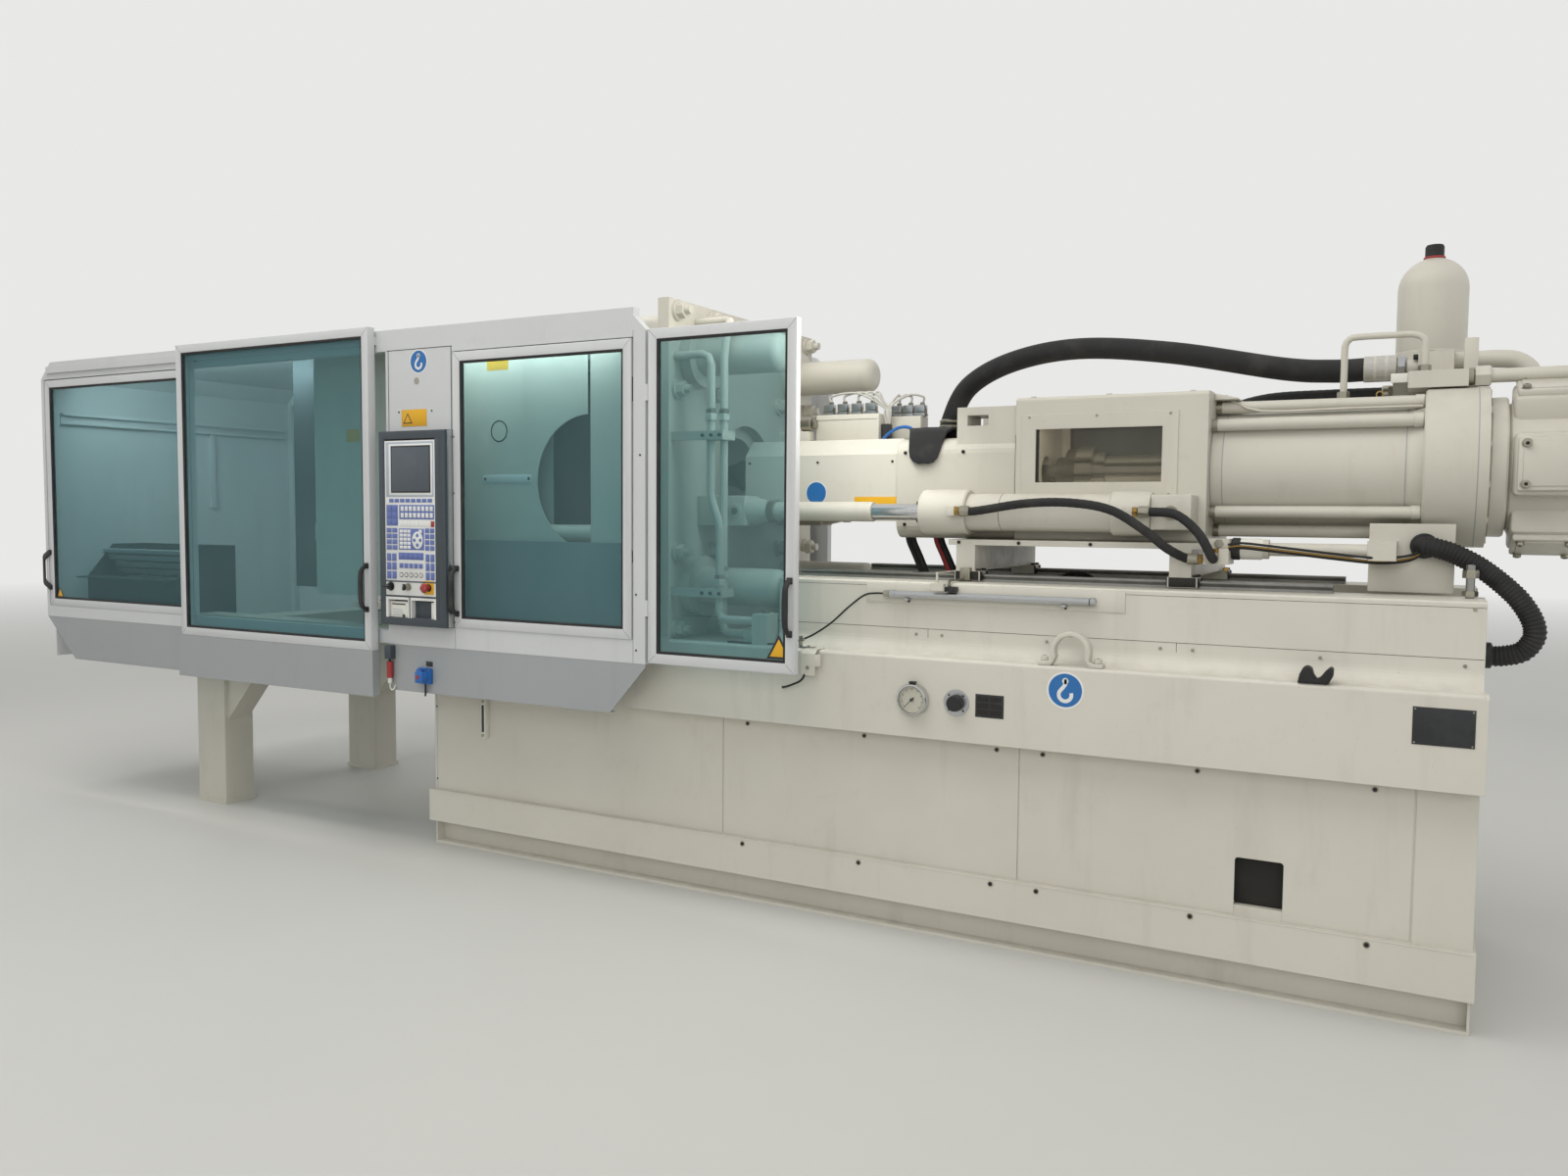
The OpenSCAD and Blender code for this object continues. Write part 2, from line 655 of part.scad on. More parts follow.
module apron_door() color(apron_grey) difference() {
    box(-2284, -978, door_2_y, door_2_y + 40, apron_low - 12, door_2_z0);
    box(-2281, -981, door_2_y + 3, door_2_y + 41, apron_low - 9, door_2_z0 - 3);
}

key_x0 = hmi_x + 34;
key_x1 = hmi_x + hmi_w - 56;
bay_top = hmi_z + 126;

module hmi_case() color(slate) difference() {
    box(hmi_x, hmi_x + hmi_w, y_front - hmi_d, y_front, hmi_z, hmi_top);
    box(key_x0, key_x1, y_front - hmi_d - 1, y_front - hmi_d + 8, bay_top, hmi_top - 40);
    box(key_x0 + 12, key_x0 + 128, y_front - hmi_d - 1, y_front - 12, hmi_z + 18, bay_top - 8);
    box(key_x0 + 146, key_x1 - 12, y_front - hmi_d - 1, y_front - 12, hmi_z + 18, bay_top - 8);
}

switch_z = hmi_z + 163;
switch_xs = [key_x0 + 30, key_x0 + 130, key_x0 + 246];

module hmi_front() color([0.86, 0.86, 0.83]) difference() {
    box(key_x0 + fit, key_x1 - fit, y_front - hmi_d + 2, y_front - hmi_d + 8, bay_top + fit,
        hmi_top - 40 - fit);
    box(key_x0 + 34, key_x1 - 22, y_front - hmi_d + 1, y_front - hmi_d + 4, hmi_top - 260, hmi_top - 60);
    for (x = switch_xs) rod_y(24, y_front - hmi_d - 1, y_front - hmi_d + 9, x, switch_z);
}

module turn_knob(x, tall) {
    rod_y(23.4, y_front - hmi_d - 20, y_front - hmi_d + 8, x, switch_z);
    box(x - 4, x + 4, y_front - hmi_d - 20 - tall, y_front - hmi_d - 20, switch_z - 13, switch_z + 13);
}

module estop_button() color([0.75, 0.1, 0.1]) {
    rod_y(23.4, y_front - hmi_d - 22, y_front - hmi_d + 3, switch_xs[2], switch_z);
    rod_y(40, y_front - hmi_d - 36, y_front - hmi_d - 22, switch_xs[2], switch_z);
}
module key_switch() color(steel) turn_knob(switch_xs[0], 16);
module selector_switch() color(dark) turn_knob(switch_xs[1], 10);

// Deep casting: a plate with four guide sleeves tied by webs, on two shoes.
module moving_platen() color(cream) difference() {
    union() {
        along_x(mov_x1 - mov_plate_t, mov_x1)
            round_plate(-mov_half, mov_half, platen_low + 15, axis_z + platen_up - 20, 30);
        at_bars() rod_x(180, mov_x0, mov_x1 - mov_plate_t + 1, 0, 0);
        both_sides() {
            box(mov_x0 + 40, mov_x1 - mov_plate_t + 1, -mov_half, -mov_half + 40,
                axis_z - bar_z + 60, axis_z + bar_z - 60);
            box(mov_x0 + 200, mov_x1, -mov_half, -beam_y0, beam_top + 0.5, platen_low + 40);
        }
        for (z = [-bar_z - 20, bar_z - 20])
            box(mov_x0 + 40, mov_x1 - mov_plate_t + 1, -bar_y + 40, bar_y - 40, axis_z + z, axis_z + z + 40);
    }
    at_bars() rod_x(bar_d + 2 * fit, mov_x0 - 1, mov_x1 + 1, 0, 0);
    rod_x(centring_d, mov_x1 - 30, mov_x1 + 1, 0, axis_z);
    for (y = [-60, 60], z = [-60, 60]) rod_x(24 + 2 * fit, mov_x1 - mov_plate_t - 1, mov_x1 + 1, y * 2, axis_z + z * 2);
    mould_holes(mov_x1 - 60, mov_x1 + 1);
}

notch_r = 270;

// Dark cover behind the platen, and the cream side sheet with its round notch.
module platen_cover() color(slate) {
    x0 = mov_x0 - 270;
    difference() {
        box(x0, mov_x0, -mov_half + 10, mov_half - 10, 1120, axis_z + platen_up - 25);
        box(x0 + 5, mov_x0 + 1, -mov_half + 15, mov_half - 15, 1125, axis_z + platen_up - 30);
    }
    difference() {
        box(mov_x0, -18, -cover_y - 4, -cover_y, 1100, axis_z + platen_up - 20);
        rod_y(notch_r * 2, -cover_y - 10, -cover_y + 10, -10, axis_z - 40);
    }
    for (x = [mov_x0 + 40, mov_x1 - mov_plate_t])
        box(x, x + 40, -cover_y, -mov_half, axis_z - 150, axis_z + 250);
}

module travel_rods() color(steel) {
    for (s = [-1, 1]) {
        rod_x(36, mov_x0 - 10, -160, s * travel_y, axis_z + s * travel_z);
        box(mov_x0 - 30, mov_x0 - 10, s * travel_y - 30, s * travel_y + 30,
            axis_z + s * travel_z - 30, axis_z + s * travel_z + 30);
        box(mov_x0 - 30, mov_x0 + 200, s > 0 ? mov_half : -travel_y - 30, s > 0 ? travel_y + 30 : -mov_half,
            axis_z + s * travel_z - 50, axis_z + s * travel_z - 30);
    }
}

module ejector() color(steel) {
    x = mov_x1 - mov_plate_t;
    box(x - 190, x - 150, -170, 170, axis_z - 170, axis_z + 170);
    for (y = [-120, 120], z = [-120, 120]) rod_x(24, x - 150, mov_x1 - 20, y, axis_z + z);
    rod_x(70, x - 500, x - 190, 0, axis_z);
}

rail_x0 = bed_x0 + 10;
rail_x1 = 2700;

module linear_rails() color(steel) both_sides() along_x(rail_x0, rail_x1) translate([-rail_y, bed_top])
    polygon([[-22, 0], [22, 0], [22, 9], [16, 14], [22, 20], [22, rail_h], [-22, rail_h],
             [-22, 20], [-16, 14], [-22, 9]]);

foot_x = [1470, 2210];
foot_t = 70;

module carriage_feet() color(cream) {
    for (x = foot_x) {
        box(x, x + foot_t, -rail_y - 40, rail_y + 40, foot_low, house_low - 20);
        both_sides() difference() {
            box(x - 5, x + foot_t + 20, -rail_y - 43, -rail_y + 43, bed_top + 4, foot_low);
            box(x - 6, x + foot_t + 21, -rail_y - 22 - fit, -rail_y + 22 + fit, bed_top,
                bed_top + rail_h + fit);
        }
    }
    box(foot_x[0] - 30, block_x, -rail_y - 40, rail_y + 40, house_low - 20, house_low);
    // bracket that carries the magnet block of the transducer
    box(foot_x[0] - 13, foot_x[0] - 5, -bed_wall_y - 30, -rail_y - 20, foot_low - 6, foot_low);
    box(foot_x[0] + 20 - 33, foot_x[0] - 5, -bed_wall_y - 34, -bed_wall_y - 28, 1228, foot_low);
    box(foot_x[0] - 24, foot_x[0] + 24, -bed_wall_y - 56, -bed_wall_y - 34, 1224, 1250);
}

win_x0 = house_x + 75;
win_x1 = house_x1 - 130;
win_z0 = axis_z - 76;
win_z1 = axis_z + 183;

module injection_housing() color(cream) difference() {
    union() {
        along_x(house_x, house_x1)
            round_plate(-house_half, house_half, house_low, axis_z + house_up, 14);
        along_x(throat_x, house_x)
            round_plate(-house_half + 10, house_half - 10, house_low, throat_top, 60);
        box(house_x - 230, house_x, -house_half + 20, house_half - 20, throat_top - 61, axis_z + house_up - 25);
    }
    // bore for the barrel, chamber of the coupling and windows
    rod_x(barrel_d + 2 * fit, throat_x - 1, house_x - 89, 0, axis_z);
    rod_x(120, house_x - 90, win_x0 - 20, 0, axis_z);
    box(win_x0 - 30, win_x1 + 30, -house_half + 25, house_half - 25, axis_z - 140, axis_z + 200);
    both_sides() along_y(-house_half - 1, -house_half + 26)
        round_plate(win_x0, win_x1, win_z0, win_z1, 12);
    rod_x(160 + 2 * fit, win_x1 + 29, house_x1 + 1, 0, axis_z);
    // feed throat from the pocket down into the barrel bore, and the pocket itself
    rod_z(feed_d, axis_z, throat_top + 1, feed_x, 0);
    box(house_x - 231, house_x - 60, -70, 70, throat_top + 20, axis_z + house_up);
    both_sides() box(house_x - 190, house_x - 110, -house_half, -60, throat_top + 40, axis_z + house_up - 55);
}

module feed_slide() color(dark) {
    difference() {
        box(feed_x - 125, feed_x + 62, -110, 110, throat_top, throat_top + 22);
        rod_z(feed_d, throat_top - 1, throat_top + 23, feed_x, 0);
        for (x = [-50, 50], y = [-80, 80]) rod_z(11, throat_top - 1, throat_top + 23, feed_x + x, y);
    }
    // rubber flap that hangs over the front edge
    along_x(feed_x - 112, feed_x - 40) polygon(concat(
        arc(-house_half + 60, throat_top - 46, 72, 180, 90, 8), [[-110, throat_top + 26]],
        [[-110, throat_top + 14]], arc(-house_half + 60, throat_top - 46, 60, 90, 180, 8),
        [[-house_half, throat_top - 100], [-house_half - 12, throat_top - 100]]));
}

module barrel_cover() color(cream) {
    outer = [[-cover_half, axis_z - 188], [-cover_half, axis_z + 68], [-cover_half + 60, axis_z + 130],
             [cover_half - 60, axis_z + 130], [cover_half, axis_z + 68], [cover_half, axis_z - 188]];
    w = 3;
    inner = [[-cover_half + w, axis_z - 189], [-cover_half + w, axis_z + 66],
             [-cover_half + 61, axis_z + 130 - w], [cover_half - 61, axis_z + 130 - w],
             [cover_half - w, axis_z + 66], [cover_half - w, axis_z - 189]];
    difference() {
        along_x(cover_x, throat_x) polygon(outer);
        along_x(cover_x + w, throat_x + 1) polygon(inner);
        rod_x(barrel_d + 20, cover_x - 1, cover_x + w + 1, 0, axis_z);
    }
}

screw_d = 56;
nozzle_x = carriage_in + 3;        // the nozzle reaches the mould face at the end of its stroke

module barrel() color(steel) difference() {
    union() {
        rod_x(barrel_d, cover_x - 40, house_x - 90, 0, axis_z);
        rod_x(barrel_d - 20, cover_x - 140, cover_x - 40, 0, axis_z);
        translate([cover_x - 250, 0, axis_z]) rotate([0, 90, 0]) cylinder(d1 = 60, d2 = 120, h = 110);
        rod_x(50, nozzle_x + 16, cover_x - 250, 0, axis_z);
        translate([nozzle_x, 0, axis_z]) rotate([0, 90, 0]) cylinder(d1 = 28, d2 = 50, h = 16);
        for (i = [0:3]) rod_x(barrel_d + 14, cover_x + 30 + i * 155, cover_x + 160 + i * 155, 0, axis_z);
    }
    rod_x(screw_d + 2, cover_x - 100, house_x - 89, 0, axis_z);
    rod_x(12, nozzle_x - 1, cover_x - 99, 0, axis_z);
    rod_z(feed_d + 2, axis_z, axis_z + barrel_d, feed_x, 0);
}

module screw() color(steel) {
    rod_x(screw_d, cover_x - 90, win_x0 + 60, 0, axis_z);
    rod_x(170, win_x0 + 60, win_x0 + 100, 0, axis_z);
    rod_x(110, win_x0 + 20, win_x0 + 60, 0, axis_z);
}

piston_x = house_x1 + 110 + screw_stroke;
module piston_rod() color(steel) {
    rod_x(190, win_x0 + 100.3, win_x0 + 160, 0, axis_z);
    rod_x(150, win_x0 + 160, win_x0 + 200, 0, axis_z);
    rod_x(120, win_x0 + 200, piston_x, 0, axis_z);
    rod_x(inj_d - 60 - 2 * fit, piston_x, piston_x + 60, 0, axis_z);
}

module injection_cylinder() color(cream) {
    difference() {
        union() {
            rod_x(inj_d, house_x1, inj_x1, 0, axis_z);
            translate([inj_x1, 0, axis_z]) rotate([0, 90, 0]) cylinder(d1 = flange_d - 12, d2 = flange_d, h = 6);
            rod_x(flange_d, inj_x1 + 6, flange_x1, 0, axis_z);
            translate([inj_x1 - 40, 0, axis_z]) rotate([0, 90, 0]) cylinder(d1 = inj_d, d2 = inj_d + 30, h = 40);
        }
        rod_x(inj_d - 60, house_x1 + 60, inj_x1 + 60, 0, axis_z);
        rod_x(120 + 2 * fit, house_x1 - 1, house_x1 + 61, 0, axis_z);
        for (a = tie_angles)
            translate([0, tie_rod_r * cos(a), axis_z + tie_rod_r * sin(a)])
                rod_x(tie_rod_d + 2 * fit, house_x1 - 1, inj_x1 + 31, 0, 0);
    }
}

tie_angles = [40, 68, 112, 140, 220, 248, 292, 320];

module cylinder_tie_rods() color(cream) for (a = tie_angles)
    translate([0, tie_rod_r * cos(a), axis_z + tie_rod_r * sin(a)])
        rod_x(tie_rod_d, house_x1, inj_x1 + 30, 0, 0);

// Radial piston motor: a ring plate, a five-sided body and a cover on each side.
motor_l = 210;
module screw_motor() color(cream) {
    rod_x(motor_d - 90, flange_x1, ring_x1, 0, axis_z);
    x0 = ring_x1;
    difference() {
        union() {
            rod_x(motor_d - 130, x0, x0 + motor_l, 0, axis_z);
            for (i = [0:4]) translate([x0 + 12, 0, axis_z]) rotate([180 + i * 72, 0, 0])
                translate([0, 0, -95]) {
                    translate([0, 120, 0]) cube([motor_l - 24, motor_d / 2 - 140, 190]);
                    translate([8, motor_d / 2 - 22, 15]) cube([motor_l - 40, 22, 160]);
                }
        }
        rod_x(60, x0 + motor_l - 20, x0 + motor_l + 1, 0, axis_z);
    }
    rod_x(190, x0 + motor_l, x0 + motor_l + 60, 0, axis_z);
    rod_x(120, x0 + motor_l + 60, x0 + motor_l + 90, 0, axis_z);
}

module accumulator() color(cream) translate([accu_x, accu_y, 0]) {
    top = axis_z + accu_up;
    r = accu_d / 2;
    rotate_extrude() polygon(concat(
        [[0, accu_base], [60, accu_base], [60, accu_base + 40], [r - 30, accu_base + 60], [r, accu_base + 100]],
        [for (a = [0:10:80]) [r * cos(a), top - 110 + 110 * sin(a)]],
        [[30, top], [30, top + 45], [0, top + 45]]));
}

// Blocks, pipes and the back support on the injection unit.

support_x0 = 2792;
support_x1 = 3029;
block_x = house_x1 + 20;

module hydraulic_pipes() color(cream) {
    // manifold that carries the accumulator, standing on the end flange
    box(accu_x - 110, accu_x + 120, 120, accu_y + 100, axis_z + 228, accu_base);
    box(accu_x - 60, accu_x + 110, -60, 120, axis_z + flange_d / 2 + 0.5, accu_base + 60);
    // back support under the cylinder, just clear of the bed
    difference() {
        box(support_x0, support_x1, -230, 230, bed_top + 6, axis_z - 180);
        rod_x(flange_d + 1, support_x0 - 1, support_x1 + 1, 0, axis_z);
        box(support_x0 + 10, support_x1 + 1, -215, 215, bed_top + 16, axis_z - 150);
    }
    // lower block and its return pipe
    box(block_x, block_x + 78, -400, -280, house_low - 66, house_low - 16);
    box(block_x + 14, block_x + 78, -385, -300, house_low - 16, house_low + 16);
    rod_x(62, block_x + 78, block_x + 190, -325, house_low - 16);
    rod_x(42, block_x + 190, support_x0 + 40, -325, house_low - 16);
    box(support_x0, support_x0 + 80, -350, -230, house_low - 45, house_low + 15);
    // fitting of the feed hose
    rod_x(88, 2742, 2840, 150, 1995);
    rod_x(64, 2840, 2905, 150, 1995);
    box(2905, 2930, 100, 200, 1945, 2045);
    box(2930, 3010, 95, 205, accu_base, 2040);
    box(accu_x - 110, accu_x - 40, 190, 280, axis_z + 228, accu_base + 50);
}

carr_x0 = 1330;
carr_x1 = 2145;

module carriage_cylinders() color(cream) for (s = [-1, 1]) {
    y = s * rail_y;
    difference() {
        union() {
            rod_x(carr_d, carr_x0 + 20, carr_x1, y, carr_z);
            rod_x(carr_d + 32, carr_x0, carr_x0 + 178, y, carr_z);
            rod_x(carr_d + 22, carr_x1 - 130, carr_x1, y, carr_z);
        }
        rod_x(carr_rod_d + 2 * fit, carr_x0 - 1, carr_x1 - 60, y, carr_z);
    }
    box(carr_x1, carr_x1 + 130, s * house_half + (s < 0 ? -135 : 0), s * house_half + (s < 0 ? 0 : 135),
        carr_z - 55, carr_z + 62);
    if (s < 0) for (x = [carr_x1 - 75, carr_x0 + 125])
        box(x, x + 32, y - 115, y - 60, carr_z - 14, carr_z + 22);
}

module carriage_rods() color(steel) for (s = [-1, 1]) {
    y = s * rail_y;
    box(platen_t + cyl_plate_t, rod_end_x, y - 60, y + 60, carr_z - 60, carr_z + 60);
    rod_y(56, y - 64, y - 60, rod_end_x - 45, carr_z);
    translate([rod_end_x, y, carr_z]) rotate([0, 90, 0]) cylinder(d1 = 116, d2 = 82, h = 80);
    rod_x(74, rod_end_x + 80, carr_x0 - 203, y, carr_z);
    rod_x(carr_rod_d, carr_x0 - 203, carr_x0 + carriage_out + 40, y, carr_z);
}

module transducer() color(steel) {
    y = -bed_wall_y;
    box(1180, 2100, y - 4, y, 1172, 1242);
    rod_x(28, 1279, 2011, y - 22, 1205);
    for (x = [1340, 1900]) box(x, x + 14, y - 36, y - 4, 1180, 1196);
}

module pressure_gauge() color(dark) {
    y = -hood_y;
    difference() {
        rod_y(110, y - 34, y, 1413, 850);
        rod_y(98, y - 35, y - 20, 1413, 850);
    }
    rod_y(12, y - 27, y - 19, 1413, 850);
}

module gauge_needle() color(dark) {
    y = -hood_y - 29;
    rod_y(20, y - 1.5, y + 1.7, 1413, 850);
    translate([1413, y + 0.8, 850]) rotate([0, 45, 0]) box(-2, 2, -0.8, 0.8, 8, 42);
}

module valve_knob() color(dark) {
    rod_y(66, -hood_y - 12, -hood_y - 0.3, 1567, 849);
    translate([1567, -hood_y - 12, 849]) rotate([90, 0, 0]) cylinder(d1 = 48, d2 = 42, h = 26);
}

module socket_box() color([0.15, 0.4, 0.7]) {
    box(-748, -678, y_front - 26, y_front + 1, 765, 830);
    rod_y(44, y_front - 58, y_front - 26, -700, 795);
}

// Fittings on the hood ledge: hook bow, rubber rest and the door switch bracket.
module hood_fittings() color(cream) {
    y = -hood_y + 26;
    z = hood_top;
    along_y(y - 8, y + 8) difference() {
        union() {
            translate([1948, z + 48]) circle(66);
            translate([1842, z]) square([212, 14]);
        }
        translate([1948, z + 48]) circle(50);
        translate([1800, z - 60]) square([300, 60]);
        translate([1904, z - 1]) square([88, 40]);
    }
    along_y(y - 14, y + 14) polygon([[2629, z], [2725, z], [2722, z + 50], [2700, z + 50],
        [2676, z + 22], [2652, z + 44], [2629, z + 38]]);
    box(950, 1010, y - 12, y + 12, z, z + 8);
    box(950, 956, y - 12, y + 12, z + 8, z + 44);
    // adjusting screw at the end of the bed
    rod_z(24, bed_top, axis_z - 300, base_x1 - 40, -rail_y);
    rod_z(44, bed_top + 60, bed_top + 85, base_x1 - 40, -rail_y);
}

// A hose swept along chosen points: one ring of n corners at each point of the smooth curve.
function lerp(a, b, t) = a + (b - a) * t;
function curve(p, k, t) =
    let (n = len(p) - 1, a = p[max(k - 1, 0)], b = p[k], c = p[k + 1], d = p[min(k + 2, n)])
    0.5 * (2 * b + (c - a) * t + (2 * a - 5 * b + 4 * c - d) * t * t + (3 * b - a - 3 * c + d) * t * t * t);
function route(p, m) = concat([for (k = [0:len(p) - 2], i = [0:m - 1]) curve(p, k, i / m)], [p[len(p) - 1]]);
function unit(v) = v / norm(v);
// Directions of a route at its points, and side vectors carried along it without twist.
function headings(q, p) = let (last = len(q) - 1)
    [for (i = [0:last]) i == 0 ? unit(p[1] - p[0]) : i == last ? unit(p[len(p) - 1] - p[len(p) - 2])
        : unit(q[i + 1] - q[i - 1])];
function carried(t, i = 0, s = [0, 0, 0]) = i == len(t) ? [] :
    let (r = i > 0 ? s : cross(t[0], abs(t[0][1]) > 0.7 ? [0, 0, 1] : [0, 1, 0]), v = unit(r - (r * t[i]) * t[i]))
    concat([v], carried(t, i + 1, v));
function ring(c, t, s, r, n) = let (u = cross(s, t))
    [for (i = [0:n - 1]) c + r * (s * cos(360 * i / n) + u * sin(360 * i / n))];
module hose(points, d, m) {
    n = 10;
    q = route(points, m);
    last = len(q) - 1;
    t = headings(q, points);
    s = carried(t);
    rings = [for (i = [0:last]) each ring(q[i], t[i], s[i], d / 2, n)];
    sides = [for (i = [0:last - 1], j = [0:n - 1])
        [i * n + j, i * n + (j + 1) % n, (i + 1) * n + (j + 1) % n, (i + 1) * n + j]];
    polyhedron(rings, concat([[for (j = [n - 1:-1:0]) j]], sides,
        [[for (j = [0:n - 1]) last * n + j]]), convexity = 6);
}

feed_hose = [[1245, 150, 1775.3], [1245, 150, 1860], [1320, 150, 2000], [1500, 150, 2090],
             [1760, 150, 2125], [2100, 150, 2090], [2480, 150, 2012], [2640, 150, 1995], [2741.7, 150, 1995]];
low_hose = [[2100, 240.3, 1760], [2100, 270, 1760], [2150, 305, 1800], [2260, 305, 1870], [2420, 270, 1912],
            [2640, 230, 1915], [2829.7, 230, 1915]];
front_hose = [[1487.3, -432, 1501], [1560, -432, 1501], [1740, -448, 1527], [1900, -462, 1530],
              [2040, -478, 1506], [2150, -474, 1440], [2215, -445, 1384], [2272, -389, 1350],
              [2319.7, -389, 1350]];
rear_hose = [[2102.3, -432, 1501], [2160, -432, 1501], [2240, -438, 1492], [2310, -446, 1435],
             [2352, -440, 1354], [2352, -400.3, 1354]];
module carriage_hoses() color(dark) {
    hose(feed_hose, 80, 2);
    hose(low_hose, 50, 1);
    hose(front_hose, 30, 2);
    hose(rear_hose, 30, 2);
}

end_hose = [[2945, -230.3, 1402], [2945, -256, 1402], [2975, -268, 1397], [3030, -268, 1378], [3110, -272, 1330],
            [3200, -285, 1245], [3240, -300, 1160], [3215, -300, 1100], [3160, -300, 1080], [3110.3, -300, 1080]];
module bed_hose() color(dark) hose(end_hose, 62, 2);

base_frame();
front_panel_left();
front_panel_mid();
front_panel_right();
rear_panels();
bed();
clamp_frame();
legs();
fixed_platen();
cylinder_plate();
tie_bars();
dome_covers();
clamp_hydraulics();
guard_frame();
guard_rear();
inner_sheets();
door_1();
door_1_glass();
door_2();
door_2_glass();
door_3();
door_3_glass();
door_4();
door_4_glass();
rear_door();
apron_left();
apron_mid();
apron_door();
hmi_case();
hmi_front();
estop_button();
key_switch();
selector_switch();
moving_platen();
platen_cover();
travel_rods();
ejector();
linear_rails();
carriage_feet();
injection_housing();
feed_slide();
barrel_cover();
barrel();
screw();
piston_rod();
injection_cylinder();
cylinder_tie_rods();
screw_motor();
accumulator();
hydraulic_pipes();
carriage_cylinders();
carriage_rods();
transducer();
pressure_gauge();
gauge_needle();
valve_knob();
socket_box();
hood_fittings();
carriage_hoses();
bed_hose();
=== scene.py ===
import sys
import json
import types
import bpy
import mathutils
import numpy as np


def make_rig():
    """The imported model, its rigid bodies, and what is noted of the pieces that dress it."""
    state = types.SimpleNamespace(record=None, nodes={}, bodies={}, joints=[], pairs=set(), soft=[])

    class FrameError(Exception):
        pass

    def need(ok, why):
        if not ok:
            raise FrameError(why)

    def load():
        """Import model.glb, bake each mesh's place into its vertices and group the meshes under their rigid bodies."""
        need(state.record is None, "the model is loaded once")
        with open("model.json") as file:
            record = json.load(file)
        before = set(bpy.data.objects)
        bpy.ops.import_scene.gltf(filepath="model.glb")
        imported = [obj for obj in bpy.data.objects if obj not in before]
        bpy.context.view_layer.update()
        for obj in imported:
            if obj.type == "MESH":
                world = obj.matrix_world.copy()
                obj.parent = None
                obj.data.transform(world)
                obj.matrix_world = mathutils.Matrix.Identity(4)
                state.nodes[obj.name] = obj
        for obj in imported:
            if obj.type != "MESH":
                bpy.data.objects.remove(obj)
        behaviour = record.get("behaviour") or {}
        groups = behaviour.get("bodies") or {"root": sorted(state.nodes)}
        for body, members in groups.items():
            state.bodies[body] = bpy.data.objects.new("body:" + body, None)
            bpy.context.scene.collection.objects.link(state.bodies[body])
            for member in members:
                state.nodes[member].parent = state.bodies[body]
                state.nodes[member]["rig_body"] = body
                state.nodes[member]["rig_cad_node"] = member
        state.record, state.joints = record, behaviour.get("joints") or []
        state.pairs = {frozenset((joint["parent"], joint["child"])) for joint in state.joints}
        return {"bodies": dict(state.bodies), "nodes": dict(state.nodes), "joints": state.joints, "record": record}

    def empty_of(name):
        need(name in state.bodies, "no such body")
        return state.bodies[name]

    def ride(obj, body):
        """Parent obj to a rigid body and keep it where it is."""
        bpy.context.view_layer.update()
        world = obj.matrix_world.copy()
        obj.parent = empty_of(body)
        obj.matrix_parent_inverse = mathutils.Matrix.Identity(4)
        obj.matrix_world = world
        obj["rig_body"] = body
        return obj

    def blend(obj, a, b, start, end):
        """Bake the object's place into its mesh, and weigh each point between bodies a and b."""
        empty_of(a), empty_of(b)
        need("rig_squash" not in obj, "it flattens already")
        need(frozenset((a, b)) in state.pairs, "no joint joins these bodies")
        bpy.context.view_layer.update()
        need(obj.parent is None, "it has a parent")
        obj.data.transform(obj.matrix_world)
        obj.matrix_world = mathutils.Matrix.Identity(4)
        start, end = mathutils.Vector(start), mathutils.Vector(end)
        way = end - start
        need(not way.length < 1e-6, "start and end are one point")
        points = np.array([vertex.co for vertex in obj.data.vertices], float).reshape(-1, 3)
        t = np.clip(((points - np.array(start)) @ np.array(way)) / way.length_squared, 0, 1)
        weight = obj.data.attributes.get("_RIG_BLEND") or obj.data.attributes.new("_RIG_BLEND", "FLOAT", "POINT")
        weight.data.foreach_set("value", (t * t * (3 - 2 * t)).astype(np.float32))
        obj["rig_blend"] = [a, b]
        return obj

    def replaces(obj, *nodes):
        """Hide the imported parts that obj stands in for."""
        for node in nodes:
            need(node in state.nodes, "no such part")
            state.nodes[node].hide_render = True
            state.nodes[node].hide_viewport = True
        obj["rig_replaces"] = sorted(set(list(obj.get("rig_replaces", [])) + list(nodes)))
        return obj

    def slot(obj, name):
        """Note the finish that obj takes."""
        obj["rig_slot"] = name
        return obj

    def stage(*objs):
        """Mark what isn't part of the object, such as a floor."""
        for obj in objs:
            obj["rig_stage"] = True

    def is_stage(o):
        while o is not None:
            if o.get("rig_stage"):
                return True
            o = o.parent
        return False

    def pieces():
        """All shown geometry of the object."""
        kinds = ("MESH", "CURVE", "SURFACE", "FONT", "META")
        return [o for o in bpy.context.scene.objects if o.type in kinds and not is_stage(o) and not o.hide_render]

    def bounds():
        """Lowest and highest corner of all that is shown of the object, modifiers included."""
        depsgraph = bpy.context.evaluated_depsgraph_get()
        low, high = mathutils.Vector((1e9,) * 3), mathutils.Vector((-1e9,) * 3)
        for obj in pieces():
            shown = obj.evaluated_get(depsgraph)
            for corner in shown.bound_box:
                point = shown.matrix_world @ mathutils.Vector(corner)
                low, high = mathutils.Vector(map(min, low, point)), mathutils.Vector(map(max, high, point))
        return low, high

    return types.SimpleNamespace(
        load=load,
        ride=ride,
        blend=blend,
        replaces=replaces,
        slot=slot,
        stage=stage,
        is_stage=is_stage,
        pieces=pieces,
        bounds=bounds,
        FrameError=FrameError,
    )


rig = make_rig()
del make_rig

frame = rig.load()

import json
import math

import bmesh
import bpy
from mathutils import Matrix, Vector

bl_info = {
    "name": "Injection moulding machine",
    "version": (1, 0, 0),
    "blender": (4, 5, 0),
    "location": "3D View > Sidebar > Moulding",
    "description": "Dresses the packed moulding machine: doors, panel, hoses, fittings, paint and stage",
    "category": "Object",
}

MM = 0.001
CAD_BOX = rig.bounds()


# Node and colour helpers

